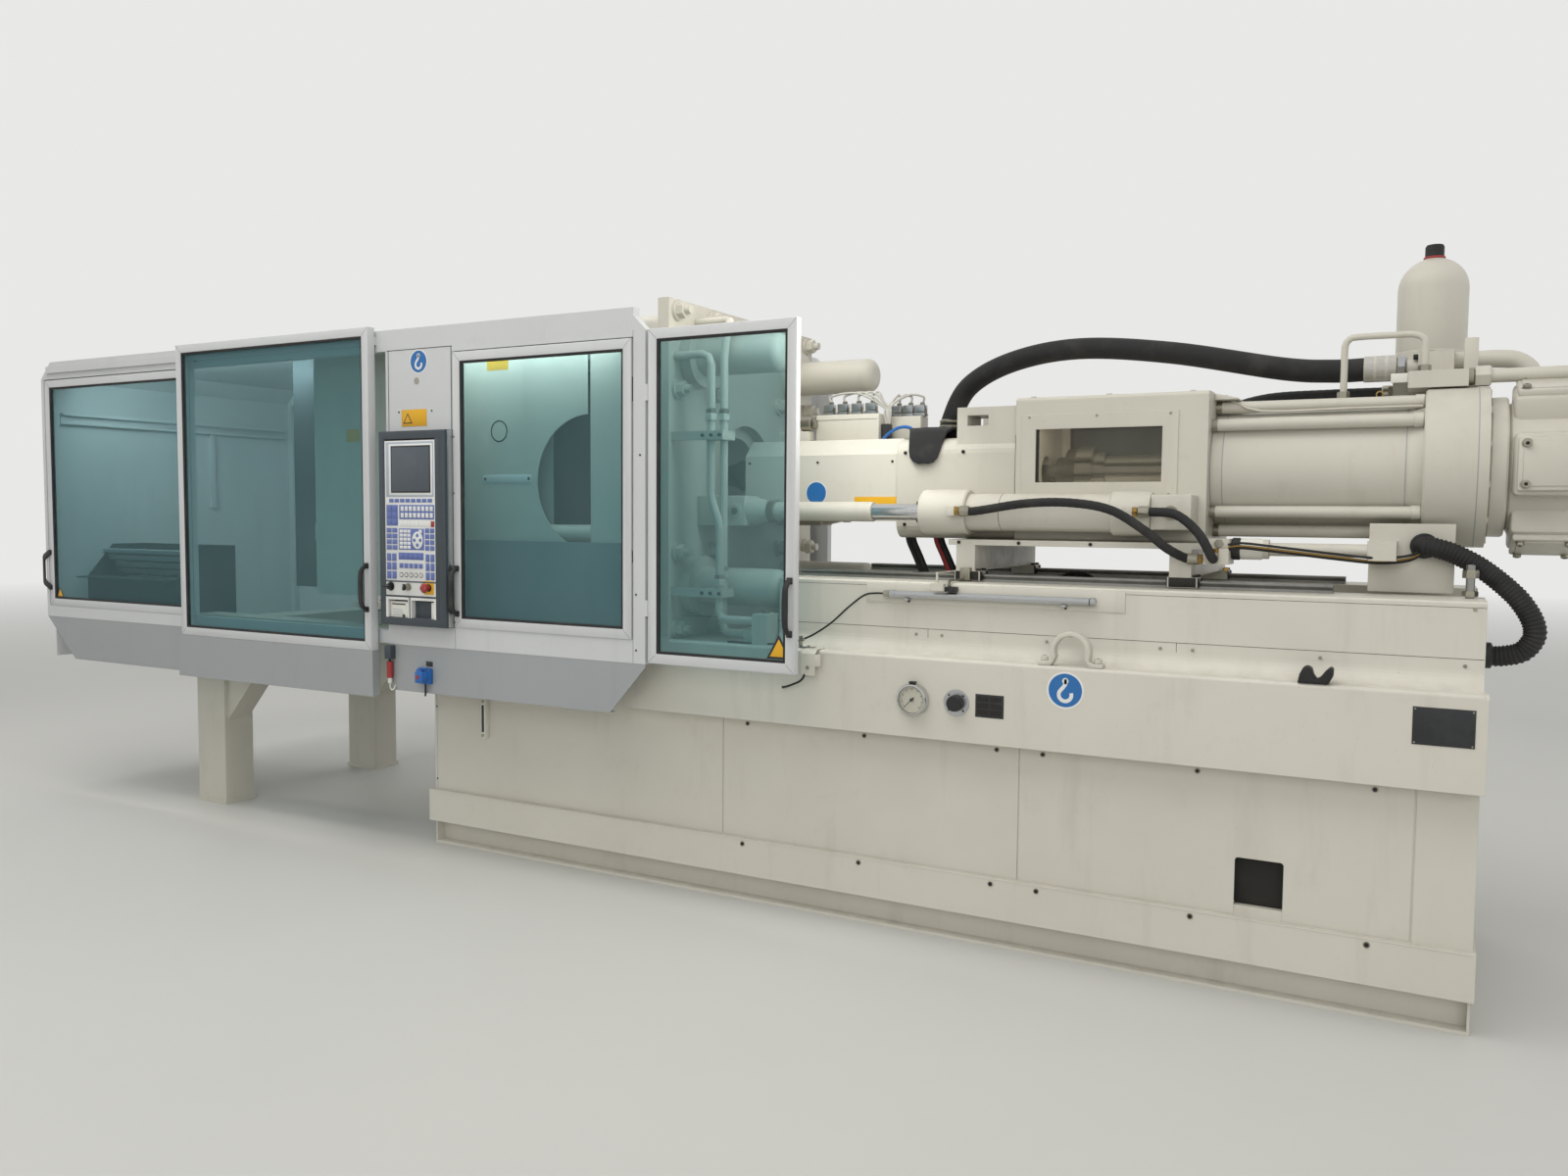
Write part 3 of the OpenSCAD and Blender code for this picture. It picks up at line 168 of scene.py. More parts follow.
def linear(code):
    """A hex colour as written on a screen, turned into linear light."""
    parts = [int(code[i:i + 2], 16) / 255 for i in (1, 3, 5)]
    return tuple(c / 12.92 if c <= 0.04045 else ((c + 0.055) / 1.055) ** 2.4 for c in parts) + (1.0,)


def add(tree, kind, inputs=None, **settings):
    """Adds one node, sets its options, and fills or links its inputs."""
    node = tree.nodes.new(kind)
    for key, value in settings.items():
        setattr(node, key, value)
    for key, value in (inputs or {}).items():
        if isinstance(value, bpy.types.NodeSocket):
            tree.links.new(value, node.inputs[key])
        else:
            node.inputs[key].default_value = value
    return node


def start_material(name):
    """An empty material with its output, shader and object coordinates in metres.

    Its name ends in _finish, since the frame's own materials take the plain names.
    """
    made = bpy.data.materials.new(name + "_finish")
    made.use_nodes = True
    tree = made.node_tree
    tree.nodes.clear()
    shader = add(tree, "ShaderNodeBsdfPrincipled")
    add(tree, "ShaderNodeOutputMaterial", {"Surface": shader.outputs[0]})
    place = add(tree, "ShaderNodeTexCoord").outputs["Object"]
    return made, tree, shader, place


def to_surface(tree, shade):
    """Links a shade to the material's output in place of the plain shader."""
    out = next(node for node in tree.nodes if node.bl_idname == "ShaderNodeOutputMaterial")
    tree.links.new(shade.outputs[0], out.inputs["Surface"])


def spread(tree, source, low, high, to_low=0.0, to_high=1.0):
    """Turns a span of one value into another span, clamped."""
    return add(tree, "ShaderNodeMapRange", {0: source, 1: low, 2: high, 3: to_low, 4: to_high}).outputs[0]


def noise(tree, place, per_metre, detail=3.0, roughness=0.5, stretch=None):
    """Noise at a real scale, stretched where it runs along one direction."""
    if stretch:
        place = add(tree, "ShaderNodeMapping", {0: place, 3: stretch}).outputs[0]
    return add(tree, "ShaderNodeTexNoise", {"Vector": place, "Scale": per_metre, "Detail": detail,
                                            "Roughness": roughness}).outputs[0]


def mixed(tree, factor, first, second):
    """Mixes two colours, given as hex codes or sockets."""
    first = linear(first) if isinstance(first, str) else first
    second = linear(second) if isinstance(second, str) else second
    return add(tree, "ShaderNodeMix", {0: factor, 6: first, 7: second}, data_type="RGBA").outputs[2]


def product(tree, first, second, operation="MULTIPLY"):
    return add(tree, "ShaderNodeMath", {0: first, 1: second}, operation=operation).outputs[0]


def bumped(tree, shader, height, depth_mm, strength=0.5, edge_mm=0.0):
    """Relief of a real depth on the shader's normal, over softened edges where edge_mm is given."""
    relief = {"Height": height, "Distance": depth_mm * MM, "Strength": strength}
    if edge_mm:
        relief["Normal"] = add(tree, "ShaderNodeBevel", {"Radius": edge_mm * MM}, samples=4).outputs[0]
    tree.links.new(add(tree, "ShaderNodeBump", relief).outputs[0], shader.inputs["Normal"])


# Finishes: each is named for the real material and how its surface was made; some also hold painted shade

def painted(name, colour, stain, roughness, grime, peel_mm=1.2, edge_mm=1.5):
    """Sprayed two-pack or powder paint: orange peel, faint tone drift, dust on top, smudges that run down."""
    made, tree, shader, place = start_material(name)
    drift = spread(tree, noise(tree, place, 1.4, 4.0, 0.6), 0.35, 0.7)
    runs = spread(tree, noise(tree, place, 1.0, 5.0, 0.62, (9.0, 9.0, 1.3)), 0.56, 0.8)
    smears = spread(tree, noise(tree, place, 7.0, 6.0, 0.7), 0.58, 0.78)
    specks = spread(tree, noise(tree, place, 130.0, 2.0, 0.5), 0.73, 0.78)
    facing = add(tree, "ShaderNodeNewGeometry").outputs["Normal"]
    normal = add(tree, "ShaderNodeSeparateXYZ", {0: facing}).outputs[2]
    dust = product(tree, spread(tree, normal, 0.4, 1.0),
                   spread(tree, noise(tree, place, 18.0, 5.0), 0.3, 0.75))
    tone = mixed(tree, product(tree, drift, 0.35 * grime), colour, stain)
    tone = mixed(tree, product(tree, runs, 0.55 * grime), tone, stain)
    tone = mixed(tree, product(tree, smears, 0.4 * grime), tone, stain)
    tone = mixed(tree, product(tree, dust, 0.5 * grime), tone, "#8E887B")
    tone = mixed(tree, product(tree, specks, 0.6 * grime), tone, "#4A463F")
    tree.links.new(tone, shader.inputs["Base Color"])
    tree.links.new(spread(tree, noise(tree, place, 24.0, 4.0), 0.3, 0.7, roughness - 0.07, roughness + 0.1),
                   shader.inputs["Roughness"])
    shader.inputs["Specular IOR Level"].default_value = 0.5
    bumped(tree, shader, noise(tree, place, 1000 / peel_mm / 4, 2.0), 0.05, 0.35, edge_mm)
    return made


def cream_enamel():
    # two-pack enamel sprayed on castings and blocks: semi-gloss cream white with fine peel
    return painted("cream_enamel", "#C9C6BB", "#A09A8C", 0.38, 0.5, 1.6, 2.5)


def cream_sheet():
    # the same cream on folded cabinet sheet: flatter, with scuffs and runs of dirt
    return painted("cream_sheet", "#CFCCC2", "#A39D90", 0.42, 0.5, 1.0, 1.5)


def two_tone(made, inside, colour, roughness, metallic):
    """Gives a finish a second tone where the factor is 1."""
    tree = made.node_tree
    shader = next(n for n in tree.nodes if n.bl_idname == "ShaderNodeBsdfPrincipled")
    given = shader.inputs["Base Color"]
    tree.links.new(mixed(tree, inside, given.links[0].from_socket, colour), given)
    for socket, value in (("Roughness", roughness), ("Metallic", metallic)):
        given = shader.inputs[socket]
        first = given.links[0].from_socket if given.links else given.default_value
        tree.links.new(add(tree, "ShaderNodeMix", {0: inside, 2: first, 3: value}).outputs[0], given)
    return made


def along_x(tree):
    place = add(tree, "ShaderNodeTexCoord").outputs["Object"]
    return add(tree, "ShaderNodeSeparateXYZ", {0: place}).outputs[0]


def platen_casting():
    # cream paint on the casting; its mould face is bare ground steel, dark with oil and painted darker still as the
    # shade of the mould space
    made = painted("platen_casting", "#D2CFC5", "#A8A294", 0.38, 0.5, 1.6, 2.5)
    tree = made.node_tree
    x = along_x(tree)
    apart = product(tree, product(tree, x, 0.135, "ADD"), 0.0, "MAXIMUM")
    apart = product(tree, apart, product(tree, product(tree, x, -1.0), 0.135, "SUBTRACT"), "MAXIMUM")
    return two_tone(made, product(tree, apart, 0.1356, "LESS_THAN"), "#2E3133", 0.38, 0.7)


def cover_sheets():
    # cream paint on the clamp's side sheets; behind x = -1.612 m they are dark grey
    made = painted("cover_sheets", "#D2CFC5", "#A8A294", 0.42, 0.6, 1.0, 1.5)
    tree = made.node_tree
    return two_tone(made, product(tree, along_x(tree), -1.612, "LESS_THAN"), "#454C50", 0.5, 0.0)


def inner_paint():
    # blue-grey powder coat of the low inner sheets, toned darker as painted shade; past x = -2.4 m, round the chute,
    # they are painted much darker as the shade under the grate
    made = painted("inner_paint", "#8F9496", "#70757A", 0.4, 0.5, 0.8, 1.5)
    tree = made.node_tree
    return two_tone(made, product(tree, along_x(tree), -2.4, "LESS_THAN"), "#3A4145", 0.5, 0.0)


def pale_hose():
    # light grey corrugated protective hose
    return moulded("pale_hose", "#B3B1AA", 0.5, 0.4, 0.05, "#8E8C85", 0.2)


def red_hose():
    # red cover of a flat water hose
    return moulded("red_hose", "#A8383A", 0.5, 0.5, 0.06, "#8A4A48", 0.25)


def grey_profile():
    # powder-coated aluminium profile, light grey, fine even texture
    return painted("grey_profile", "#C9CBCD", "#9A9B99", 0.4, 0.3, 0.8, 1.2)


def grey_apron():
    # smooth powder coat, blue grey, on folded sheet
    return painted("grey_apron", "#9CA0A2", "#7C7F80", 0.36, 0.3, 0.8, 1.5)


def slate_paint():
    # fine-texture slate paint on the control panel's case
    return painted("slate_paint", "#3B434A", "#5A5E5F", 0.5, 0.35, 0.6, 1.5)


def dark_sheet():
    # dark grey sheet in the rear coupling window: painted shade of the housing's inside, seen through the front window
    return painted("dark_sheet", "#454C50", "#6A6D6B", 0.5, 0.5, 0.8, 1.5)


def plain_metal(name, colour, roughness, grain, soil, metallic=1.0, along=(1.0, 1.0, 1.0)):
    """Bare metal: machining or grinding marks that follow one direction, with a film of oil and dust."""
    made, tree, shader, place = start_material(name)
    marks = noise(tree, place, grain, 3.0, 0.6, along)
    film = spread(tree, noise(tree, place, 5.0, 5.0, 0.65), 0.45, 0.75)
    tone = mixed(tree, spread(tree, marks, 0.3, 0.7, 0.0, 0.25), colour, "#6E6C66")
    tone = mixed(tree, product(tree, film, soil), tone, "#54493A")
    tree.links.new(tone, shader.inputs["Base Color"])
    shader.inputs["Metallic"].default_value = metallic
    rough = product(tree, spread(tree, marks, 0.3, 0.7, roughness - 0.06, roughness + 0.08),
                    product(tree, film, 0.18 * soil * 2), "ADD")
    tree.links.new(rough, shader.inputs["Roughness"])
    bumped(tree, shader, marks, 0.03, 0.4)
    return made


def ground_steel():
    # ground and milled steel: fine marks across the travel
    return plain_metal("ground_steel", "#A9A9A6", 0.34, 420.0, 0.35)


def hard_chrome():
    # polished hard chrome on rods and bars: almost a mirror, thin oil film
    return plain_metal("hard_chrome", "#D6D7D8", 0.13, 900.0, 0.12, along=(1.0, 0.2, 0.2))


def drawn_aluminium():
    # drawn aluminium section: fine lines along its length
    return plain_metal("drawn_aluminium", "#C6C8CA", 0.33, 700.0, 0.1, along=(0.05, 1.0, 1.0))


def zinc_fitting():
    # zinc-plated steel of hose ends and bolts, slightly yellowed
    return plain_metal("zinc_fitting", "#B5B1A2", 0.32, 300.0, 0.3)


def brass_fitting():
    # turned brass of small fittings and plugs
    return plain_metal("brass_fitting", "#B08D4A", 0.3, 300.0, 0.3)


def black_oxide():
    # blackened steel: cap screws and slide plates with an oily sheen
    return plain_metal("black_oxide", "#2A2A2B", 0.42, 260.0, 0.2, 0.75)


def moulded(name, colour, roughness, grain_mm=0.6, depth_mm=0.05, fade="#8A8780", fading=0.15):
    """Moulded rubber or plastic: spark-eroded grain and faint rubbed patches."""
    made, tree, shader, place = start_material(name)
    rubbed = spread(tree, noise(tree, place, 11.0, 5.0, 0.6), 0.5, 0.8)
    tree.links.new(mixed(tree, product(tree, rubbed, fading), colour, fade), shader.inputs["Base Color"])
    tree.links.new(spread(tree, rubbed, 0.0, 1.0, roughness, roughness + 0.12), shader.inputs["Roughness"])
    bumped(tree, shader, noise(tree, place, 250 / grain_mm, 2.0), depth_mm, 0.4)
    return made


def black_rubber():
    # extruded rubber of gaskets, hoses and bellows: matt black with grey dust
    return moulded("black_rubber", "#1D1D1E", 0.62, 1.5, 0.12, "#6B6862", 0.22)


def black_plastic():
    # moulded black polyamide of handles, housings and switch bodies
    return moulded("black_plastic", "#1E1F21", 0.45)


def red_plastic():
    # moulded red plastic of the stop button and plugs
    return moulded("red_plastic", "#96302F", 0.4)


def blue_plastic():
    # moulded blue plastic of the socket
    return moulded("blue_plastic", "#2463AC", 0.38)


def white_plastic():
    # pale plastic of small housings and unions
    return moulded("white_plastic", "#D9D8D0", 0.4)


def foil_white():
    # printed polyester foil, white key fields
    return moulded("foil_white", "#DEDFDD", 0.38, 0.4, 0.02, "#A7A59D", 0.2)


def foil_blue():
    # printed polyester foil, blue-violet key fields
    return moulded("foil_blue", "#5F6FA8", 0.38, 0.4, 0.02, "#8E93A6", 0.25)


def foil_pale():
    # printed polyester foil, pale blue grey fields
    return moulded("foil_pale", "#A9B2BF", 0.38, 0.4, 0.02, "#8E93A6", 0.2)


def foil_slate():
    # printed polyester foil, slate ground of the panel
    return moulded("foil_slate", "#4C545C", 0.42, 0.4, 0.02, "#7A7F84", 0.2)


def yellow_foil():
    # yellow sticker foil, left bare
    return moulded("yellow_foil", "#D9A520", 0.4, 0.5, 0.02, "#A08A50", 0.25)


def blue_foil():
    # blue sticker foil of the lifting-point discs
    return moulded("blue_foil", "#2668A8", 0.36, 0.5, 0.02, "#6E8CA6", 0.2)


def black_plate():
    # black anodised aluminium plate with its printing left off
    return moulded("black_plate", "#232427", 0.35, 0.5, 0.03, "#55565A", 0.25)


def dial_paper():
    # printed dial behind the gauge glass
    return moulded("dial_paper", "#D6CFC2", 0.5, 0.5, 0.02)


def dark_cavity():
    # matt near-black with dust: dark seams, joint lines and plate fields, and painted shade at the backs of openings,
    # holes and bolt sockets
    return moulded("dark_cavity", "#242321", 0.8, 2.0, 0.2, "#4A463F", 0.4)


def clear_pane(name, tint, body, share, roughness, haze):
    """Clear sheet: what is behind shows through the tint, under a film of dust and wipe marks."""
    made, tree, shader, place = start_material(name)
    wiped = spread(tree, noise(tree, place, 3.0, 6.0, 0.65, (1.0, 1.0, 0.35)), 0.45, 0.8)
    dusty = spread(tree, noise(tree, place, 60.0, 3.0), 0.55, 0.8)
    film = product(tree, product(tree, wiped, 0.7), product(tree, dusty, 0.3), "ADD")
    tree.links.new(mixed(tree, product(tree, film, 0.5), body, "#A9B7B6"), shader.inputs["Base Color"])
    tree.links.new(spread(tree, film, 0.0, 1.0, roughness, roughness + 0.2), shader.inputs["Roughness"])
    shader.inputs["IOR"].default_value = 1.58
    through = add(tree, "ShaderNodeBsdfTransparent", {0: linear(tint)})
    solid = spread(tree, film, 0.0, 1.0, share, share + haze)
    both = add(tree, "ShaderNodeMixShader", {0: solid, 1: through.outputs[0], 2: shader.outputs[0]})
    to_surface(tree, both)
    return made


def window_pane():
    # extruded polycarbonate, teal tint, wipe marks
    return clear_pane("window_pane", "#D2E5E8", "#7FA3A8", 0.14, 0.05, 0.06)


def smoked_pane():
    # smoke-brown acrylic in the coupling window
    return clear_pane("smoked_pane", "#E6E3DB", "#7A756A", 0.16, 0.08, 0.12)


def gauge_glass():
    # thin clear instrument glass
    return clear_pane("gauge_glass", "#F8F9F8", "#DADCDA", 0.03, 0.04, 0.04)


FINISHES = {made.__name__: made for made in (
    cream_enamel, cream_sheet, platen_casting, cover_sheets, inner_paint, pale_hose, red_hose, grey_profile,
    grey_apron, slate_paint, dark_sheet, ground_steel, hard_chrome, drawn_aluminium, zinc_fitting,
    brass_fitting,
    black_oxide, black_rubber, black_plastic, red_plastic, blue_plastic, white_plastic, foil_white, foil_blue,
    foil_pale, foil_slate, yellow_foil, blue_foil, black_plate, dial_paper, dark_cavity, window_pane,
    smoked_pane,
    gauge_glass)}


def finish(name):
    """The material of that name, made once, beside the frame's own materials."""
    if name + "_finish" not in bpy.data.materials:
        FINISHES[name]()
    return bpy.data.materials[name + "_finish"]


# Mesh helpers: every size is in millimetres in the machine's frame

def smooth_route(points, steps):
    """A smooth curve through the given points, the same rule as in the part's source."""
    p, last = [Vector(q) for q in points], len(points) - 1
    out = []
    for k in range(last):
        a, b, c, d = p[max(k - 1, 0)], p[k], p[k + 1], p[min(k + 2, last)]
        for i in range(steps):
            t = i / steps
            out.append(0.5 * (2 * b + (c - a) * t + (2 * a - 5 * b + 4 * c - d) * t * t
                              + (3 * b - a - 3 * c + d) * t ** 3))
    return out + [p[-1]]


GUARD_FRONT, HOOD_FRONT, SKIRTING_FRONT, BASE_FRONT, BED_FRONT = -780, -605, -555, -530, -500
FOIL_FRONT, CYLINDER_SIDE = -828, 330
SCREW_AXIS = (0, 1650)  # across and up
AXES = {"x": (1, 2), "y": (0, 2), "z": (0, 1)}


def to_space(axis, u, v, along):
    """A point given across and along one of the machine's axes."""
    spot = [0.0, 0.0, 0.0]
    spot["xyz".index(axis)] = along
    spot[AXES[axis][0]], spot[AXES[axis][1]] = u, v
    return Vector(spot)


class Shape:
    """Collects the forms of one piece, each with its finish."""

    def __init__(self):
        self.mesh = bmesh.new()
        self.finishes = []

    def _close(self, faces, name, bevel):
        if name not in self.finishes:
            self.finishes.append(name)
        index = self.finishes.index(name)
        for face in faces:
            face.material_index = index
        if bevel:
            bmesh.ops.recalc_face_normals(self.mesh, faces=faces)
            edges = {e for f in faces for e in f.edges if e.is_manifold and e.calc_face_angle(0.0) > 0.35}
            done = bmesh.ops.bevel(self.mesh, geom=list(edges), offset=bevel, segments=2, profile=0.5,
                                   affect="EDGES", clamp_overlap=True)
            for face in done["faces"]:
                face.material_index = index
        return self

    def loft(self, rings, name, bevel=0.0, closed=False):
        """Joins rings of equal count with quads; closed joins the last ring to the first."""
        rows = [[self.mesh.verts.new(p) for p in ring] for ring in rings]
        faces, n = [], len(rows[0])
        for a, b in zip(rows, rows[1:] + rows[:1] if closed else rows[1:]):
            for i in range(n):
                faces.append(self.mesh.faces.new((a[i], a[(i + 1) % n], b[(i + 1) % n], b[i])))
        if not closed:
            faces.append(self.mesh.faces.new(rows[0][::-1]))
            faces.append(self.mesh.faces.new(rows[-1]))
        return self._close(faces, name, bevel)

    def prism(self, axis, outline, a, b, name, bevel=1.0):
        """An outline across an axis, drawn out from a to b."""
        return self.loft([[to_space(axis, u, v, t) for u, v in outline] for t in (a, b)], name, bevel)

    def box(self, x0, x1, y0, y1, z0, z1, name, bevel=1.5):
        bevel = min(bevel, 0.3 * min(x1 - x0, y1 - y0, z1 - z0))
        return self.prism("z", [(x0, y0), (x1, y0), (x1, y1), (x0, y1)], z0, z1, name, bevel)

    def turned(self, axis, centre, profile, name, steps=32):
        """A lathe form round an axis: profile is (radius, place along the axis), closed where radius is 0."""
        rings, tips = [], {}
        for k, (r, t) in enumerate(profile):
            if r <= 0:
                tips[k] = self.mesh.verts.new(to_space(axis, centre[0], centre[1], t))
                rings.append(None)
            else:
                rings.append([self.mesh.verts.new(to_space(
                    axis, centre[0] + r * math.cos(math.tau * i / steps),
                    centre[1] + r * math.sin(math.tau * i / steps), t)) for i in range(steps)])
        faces = []
        for k in range(len(profile) - 1):
            a, b = rings[k], rings[k + 1]
            for i in range(steps):
                j = (i + 1) % steps
                if a and b:
                    faces.append(self.mesh.faces.new((a[i], a[j], b[j], b[i])))
                elif a:
                    faces.append(self.mesh.faces.new((a[i], a[j], tips[k + 1])))
                elif b:
                    faces.append(self.mesh.faces.new((tips[k], b[j], b[i])))
        return self._close(faces, name, 0.0)

    def rod(self, axis, centre, d, a, b, name, steps=32, edge=1.5):
        """A round bar with small chamfers at both ends."""
        r, edge = d / 2, min(edge, d / 8, (b - a) / 3)
        profile = [(0, a), (r - edge, a), (r, a + edge), (r, b - edge), (r - edge, b), (0, b)]
        return self.turned(axis, centre, profile, name, steps)

    def ring(self, axis, centre, outer, inner, a, b, name, steps=40, edge=1.0):
        """A ring with softened edges, such as a collar or a bezel."""
        profile = [(inner, a), (outer - edge, a), (outer, a + edge), (outer, b - edge), (outer - edge, b),
                   (inner, b)]
        return self.turned(axis, centre, profile + profile[:1], name, steps)

    def nut(self, axis, centre, across, a, b, name):
        """A hexagon across its flats, with chamfered corners at its far end."""
        r = across / math.sqrt(3)
        profile = [(0, a), (r, a), (r, b - across * 0.08), (r * 0.86, b), (0, b)]
        return self.turned(axis, centre, profile, name, 6)

    def tube(self, points, d, name, steps=12, smooth=4):
        """A round bar or pipe along a route."""
        path = smooth_route(points, smooth)
        rings, side = [], None
        for i, p in enumerate(path):
            ahead = path[min(i + 1, len(path) - 1)] - path[max(i - 1, 0)]
            ahead.normalize()
            if side is None:
                side = ahead.cross(Vector((0, 0, 1)) if abs(ahead.z) < 0.7 else Vector((0, 1, 0)))
            side = (side - ahead * side.dot(ahead)).normalized()
            up = ahead.cross(side)
            rings.append([p + (side * math.cos(math.tau * k / steps)
                               + up * math.sin(math.tau * k / steps)) * d / 2
                          for k in range(steps)])
        return self.loft(rings, name)

    def frame_ring(self, x0, x1, z0, z1, profile, name):
        """A mitred frame in a plane along X and Z: profile is (inset from the outer edge, Y), closed."""
        rings = []
        for sx, sz in ((0, 0), (1, 0), (1, 1), (0, 1)):
            rings.append([Vector((x1 - d if sx else x0 + d, y, z1 - d if sz else z0 + d)) for d,
                          y in profile])
        return self.loft(rings, name, closed=True)

    def done(self, label, body, slot, replaces=()):
        """Turns the collected forms into a finished piece that rides on a body of the frame."""
        bmesh.ops.recalc_face_normals(self.mesh, faces=self.mesh.faces[:])
        bmesh.ops.scale(self.mesh, vec=(MM, MM, MM), verts=self.mesh.verts[:])
        data = bpy.data.meshes.new(label)
        self.mesh.to_mesh(data)
        self.mesh.free()
        for name in self.finishes:
            data.materials.append(finish(name))
        return settle(bpy.data.objects.new(label, data), body, slot, replaces)


def settle(piece, body, slot, replaces=(), sharp=32.0):
    """Shades a piece, links it and ties it to its body, its slot and the solids it stands for."""
    piece.data.polygons.foreach_set("use_smooth", [True] * len(piece.data.polygons))
    piece.data.set_sharp_from_angle(angle=math.radians(sharp))
    bpy.context.scene.collection.objects.link(piece)
    if body:
        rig.ride(piece, body)
    if replaces:
        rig.replaces(piece, *replaces)
    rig.slot(piece, slot)
    return piece


# Geometry Nodes: each tree is built once, with named inputs in metres

def new_tree(name, *inputs):
    """A geometry tree with its group input and output and the named inputs."""
    tree = bpy.data.node_groups.new(name, "GeometryNodeTree")
    tree.interface.new_socket("Geometry", in_out="INPUT", socket_type="NodeSocketGeometry")
    tree.interface.new_socket("Geometry", in_out="OUTPUT", socket_type="NodeSocketGeometry")
    for label, kind, default in inputs:
        made = tree.interface.new_socket(label, in_out="INPUT", socket_type=kind)
        if default is not None:
            made.default_value = default
    return tree, add(tree, "NodeGroupInput").outputs, add(tree, "NodeGroupOutput").inputs


def end_tree(tree, sources, result, shape):
    """Every tree ends in real geometry with its material."""
    solid = add(tree, "GeometryNodeRealizeInstances", {0: shape}).outputs[0]
    painted_mesh = add(tree, "GeometryNodeSetMaterial", {"Geometry": solid, "Material": sources["Material"]})
    tree.links.new(painted_mesh.outputs[0], result[0])
    return tree


def screw_tree():
    """Socket screws on the points of a mesh: a chamfered head with a sunk socket."""
    if "Screw heads" in bpy.data.node_groups:
        return bpy.data.node_groups["Screw heads"]
    tree, given, result = new_tree(
        "Screw heads", ("Radius", "NodeSocketFloat", 0.006), ("Height", "NodeSocketFloat", 0.004),
        ("Sides", "NodeSocketInt", 16), ("Turn", "NodeSocketVector", None),
        ("Material", "NodeSocketMaterial", None))
    head = add(tree, "GeometryNodeMeshCylinder", {"Vertices": given["Sides"], "Radius": given["Radius"],
                                                  "Depth": given["Height"]})
    up = add(tree, "ShaderNodeCombineXYZ", {2: product(tree, given["Height"], 0.5)}).outputs[0]
    lifted = add(tree, "GeometryNodeSetPosition", {"Geometry": head.outputs["Mesh"], "Offset": up})
    rim = add(tree, "GeometryNodeExtrudeMesh", {"Mesh": lifted.outputs[0], "Selection": head.outputs["Top"],
                                                "Offset Scale": 0.0})
    inner = add(tree, "GeometryNodeScaleElements", {"Geometry": rim.outputs["Mesh"],
                                                    "Selection": rim.outputs["Top"], "Scale": 0.55})
    depth = product(tree, given["Height"], -0.55)
    sunk = add(tree, "GeometryNodeExtrudeMesh", {"Mesh": inner.outputs[0], "Selection": rim.outputs["Top"],
                                                 "Offset Scale": depth})
    placed = add(tree, "GeometryNodeInstanceOnPoints", {"Points": given["Geometry"],
                                                        "Instance": sunk.outputs[0],
                                                        "Rotation": given["Turn"]})
    return end_tree(tree, given, result, placed.outputs[0])


def hose_tree():
    """A hose along a line of edges: its radius swells at each rib of the given pitch."""
    if "Hose" in bpy.data.node_groups:
        return bpy.data.node_groups["Hose"]
    tree, given, result = new_tree(
        "Hose", ("Radius", "NodeSocketFloat", 0.02), ("Rib", "NodeSocketFloat", 0.0),
        ("Pitch", "NodeSocketFloat", 0.01), ("Step", "NodeSocketFloat", 0.01),
        ("Material", "NodeSocketMaterial", None))
    line = add(tree, "GeometryNodeMeshToCurve", {0: given["Geometry"]}).outputs[0]
    fine = add(tree, "GeometryNodeResampleCurve", {"Curve": line, "Length": given["Step"]},
               mode="LENGTH").outputs[0]
    run = add(tree, "GeometryNodeSplineParameter").outputs["Length"]
    turns = add(tree, "ShaderNodeMath", {0: run, 1: given["Pitch"]}, operation="DIVIDE").outputs[0]
    angle = add(tree, "ShaderNodeMath", {0: turns, 1: math.tau}, operation="MULTIPLY").outputs[0]
    wave = add(tree, "ShaderNodeMath", {0: angle}, operation="COSINE").outputs[0]
    rib = add(tree, "ShaderNodeMath", {0: wave, 1: given["Rib"]}, operation="MULTIPLY").outputs[0]
    radius = add(tree, "ShaderNodeMath", {0: given["Radius"], 1: rib}, operation="ADD").outputs[0]
    shaped = add(tree, "GeometryNodeSetCurveRadius", {"Curve": fine, "Radius": radius}).outputs[0]
    ring = add(tree, "GeometryNodeCurvePrimitiveCircle", {"Resolution": 20, "Radius": 1.0}).outputs[0]
    body = add(tree, "GeometryNodeCurveToMesh", {"Curve": shaped, "Profile Curve": ring, "Fill Caps": True})
    if "Scale" in body.inputs:
        tree.links.new(radius, body.inputs["Scale"])
    return end_tree(tree, given, result, body.outputs[0])


def slat_tree():
    """Equal slats set out from the first point: size, step and count."""
    if "Slats" in bpy.data.node_groups:
        return bpy.data.node_groups["Slats"]
    tree, given, result = new_tree(
        "Slats", ("Size", "NodeSocketVector", None), ("Step", "NodeSocketVector", None),
        ("Count", "NodeSocketInt", 5), ("Turn", "NodeSocketVector", None),
        ("Material", "NodeSocketMaterial", None))
    slat = add(tree, "GeometryNodeMeshCube", {"Size": given["Size"]}).outputs[0]
    line = add(tree, "GeometryNodeMeshLine", {"Count": given["Count"], "Offset": given["Step"]},
               mode="OFFSET").outputs[0]
    rows = add(tree, "GeometryNodeInstanceOnPoints", {"Points": line, "Instance": slat,
                                                      "Rotation": given["Turn"]})
    placed = add(tree, "GeometryNodeInstanceOnPoints", {"Points": given["Geometry"],
                                                        "Instance": rows.outputs[0]})
    return end_tree(tree, given, result, placed.outputs[0])


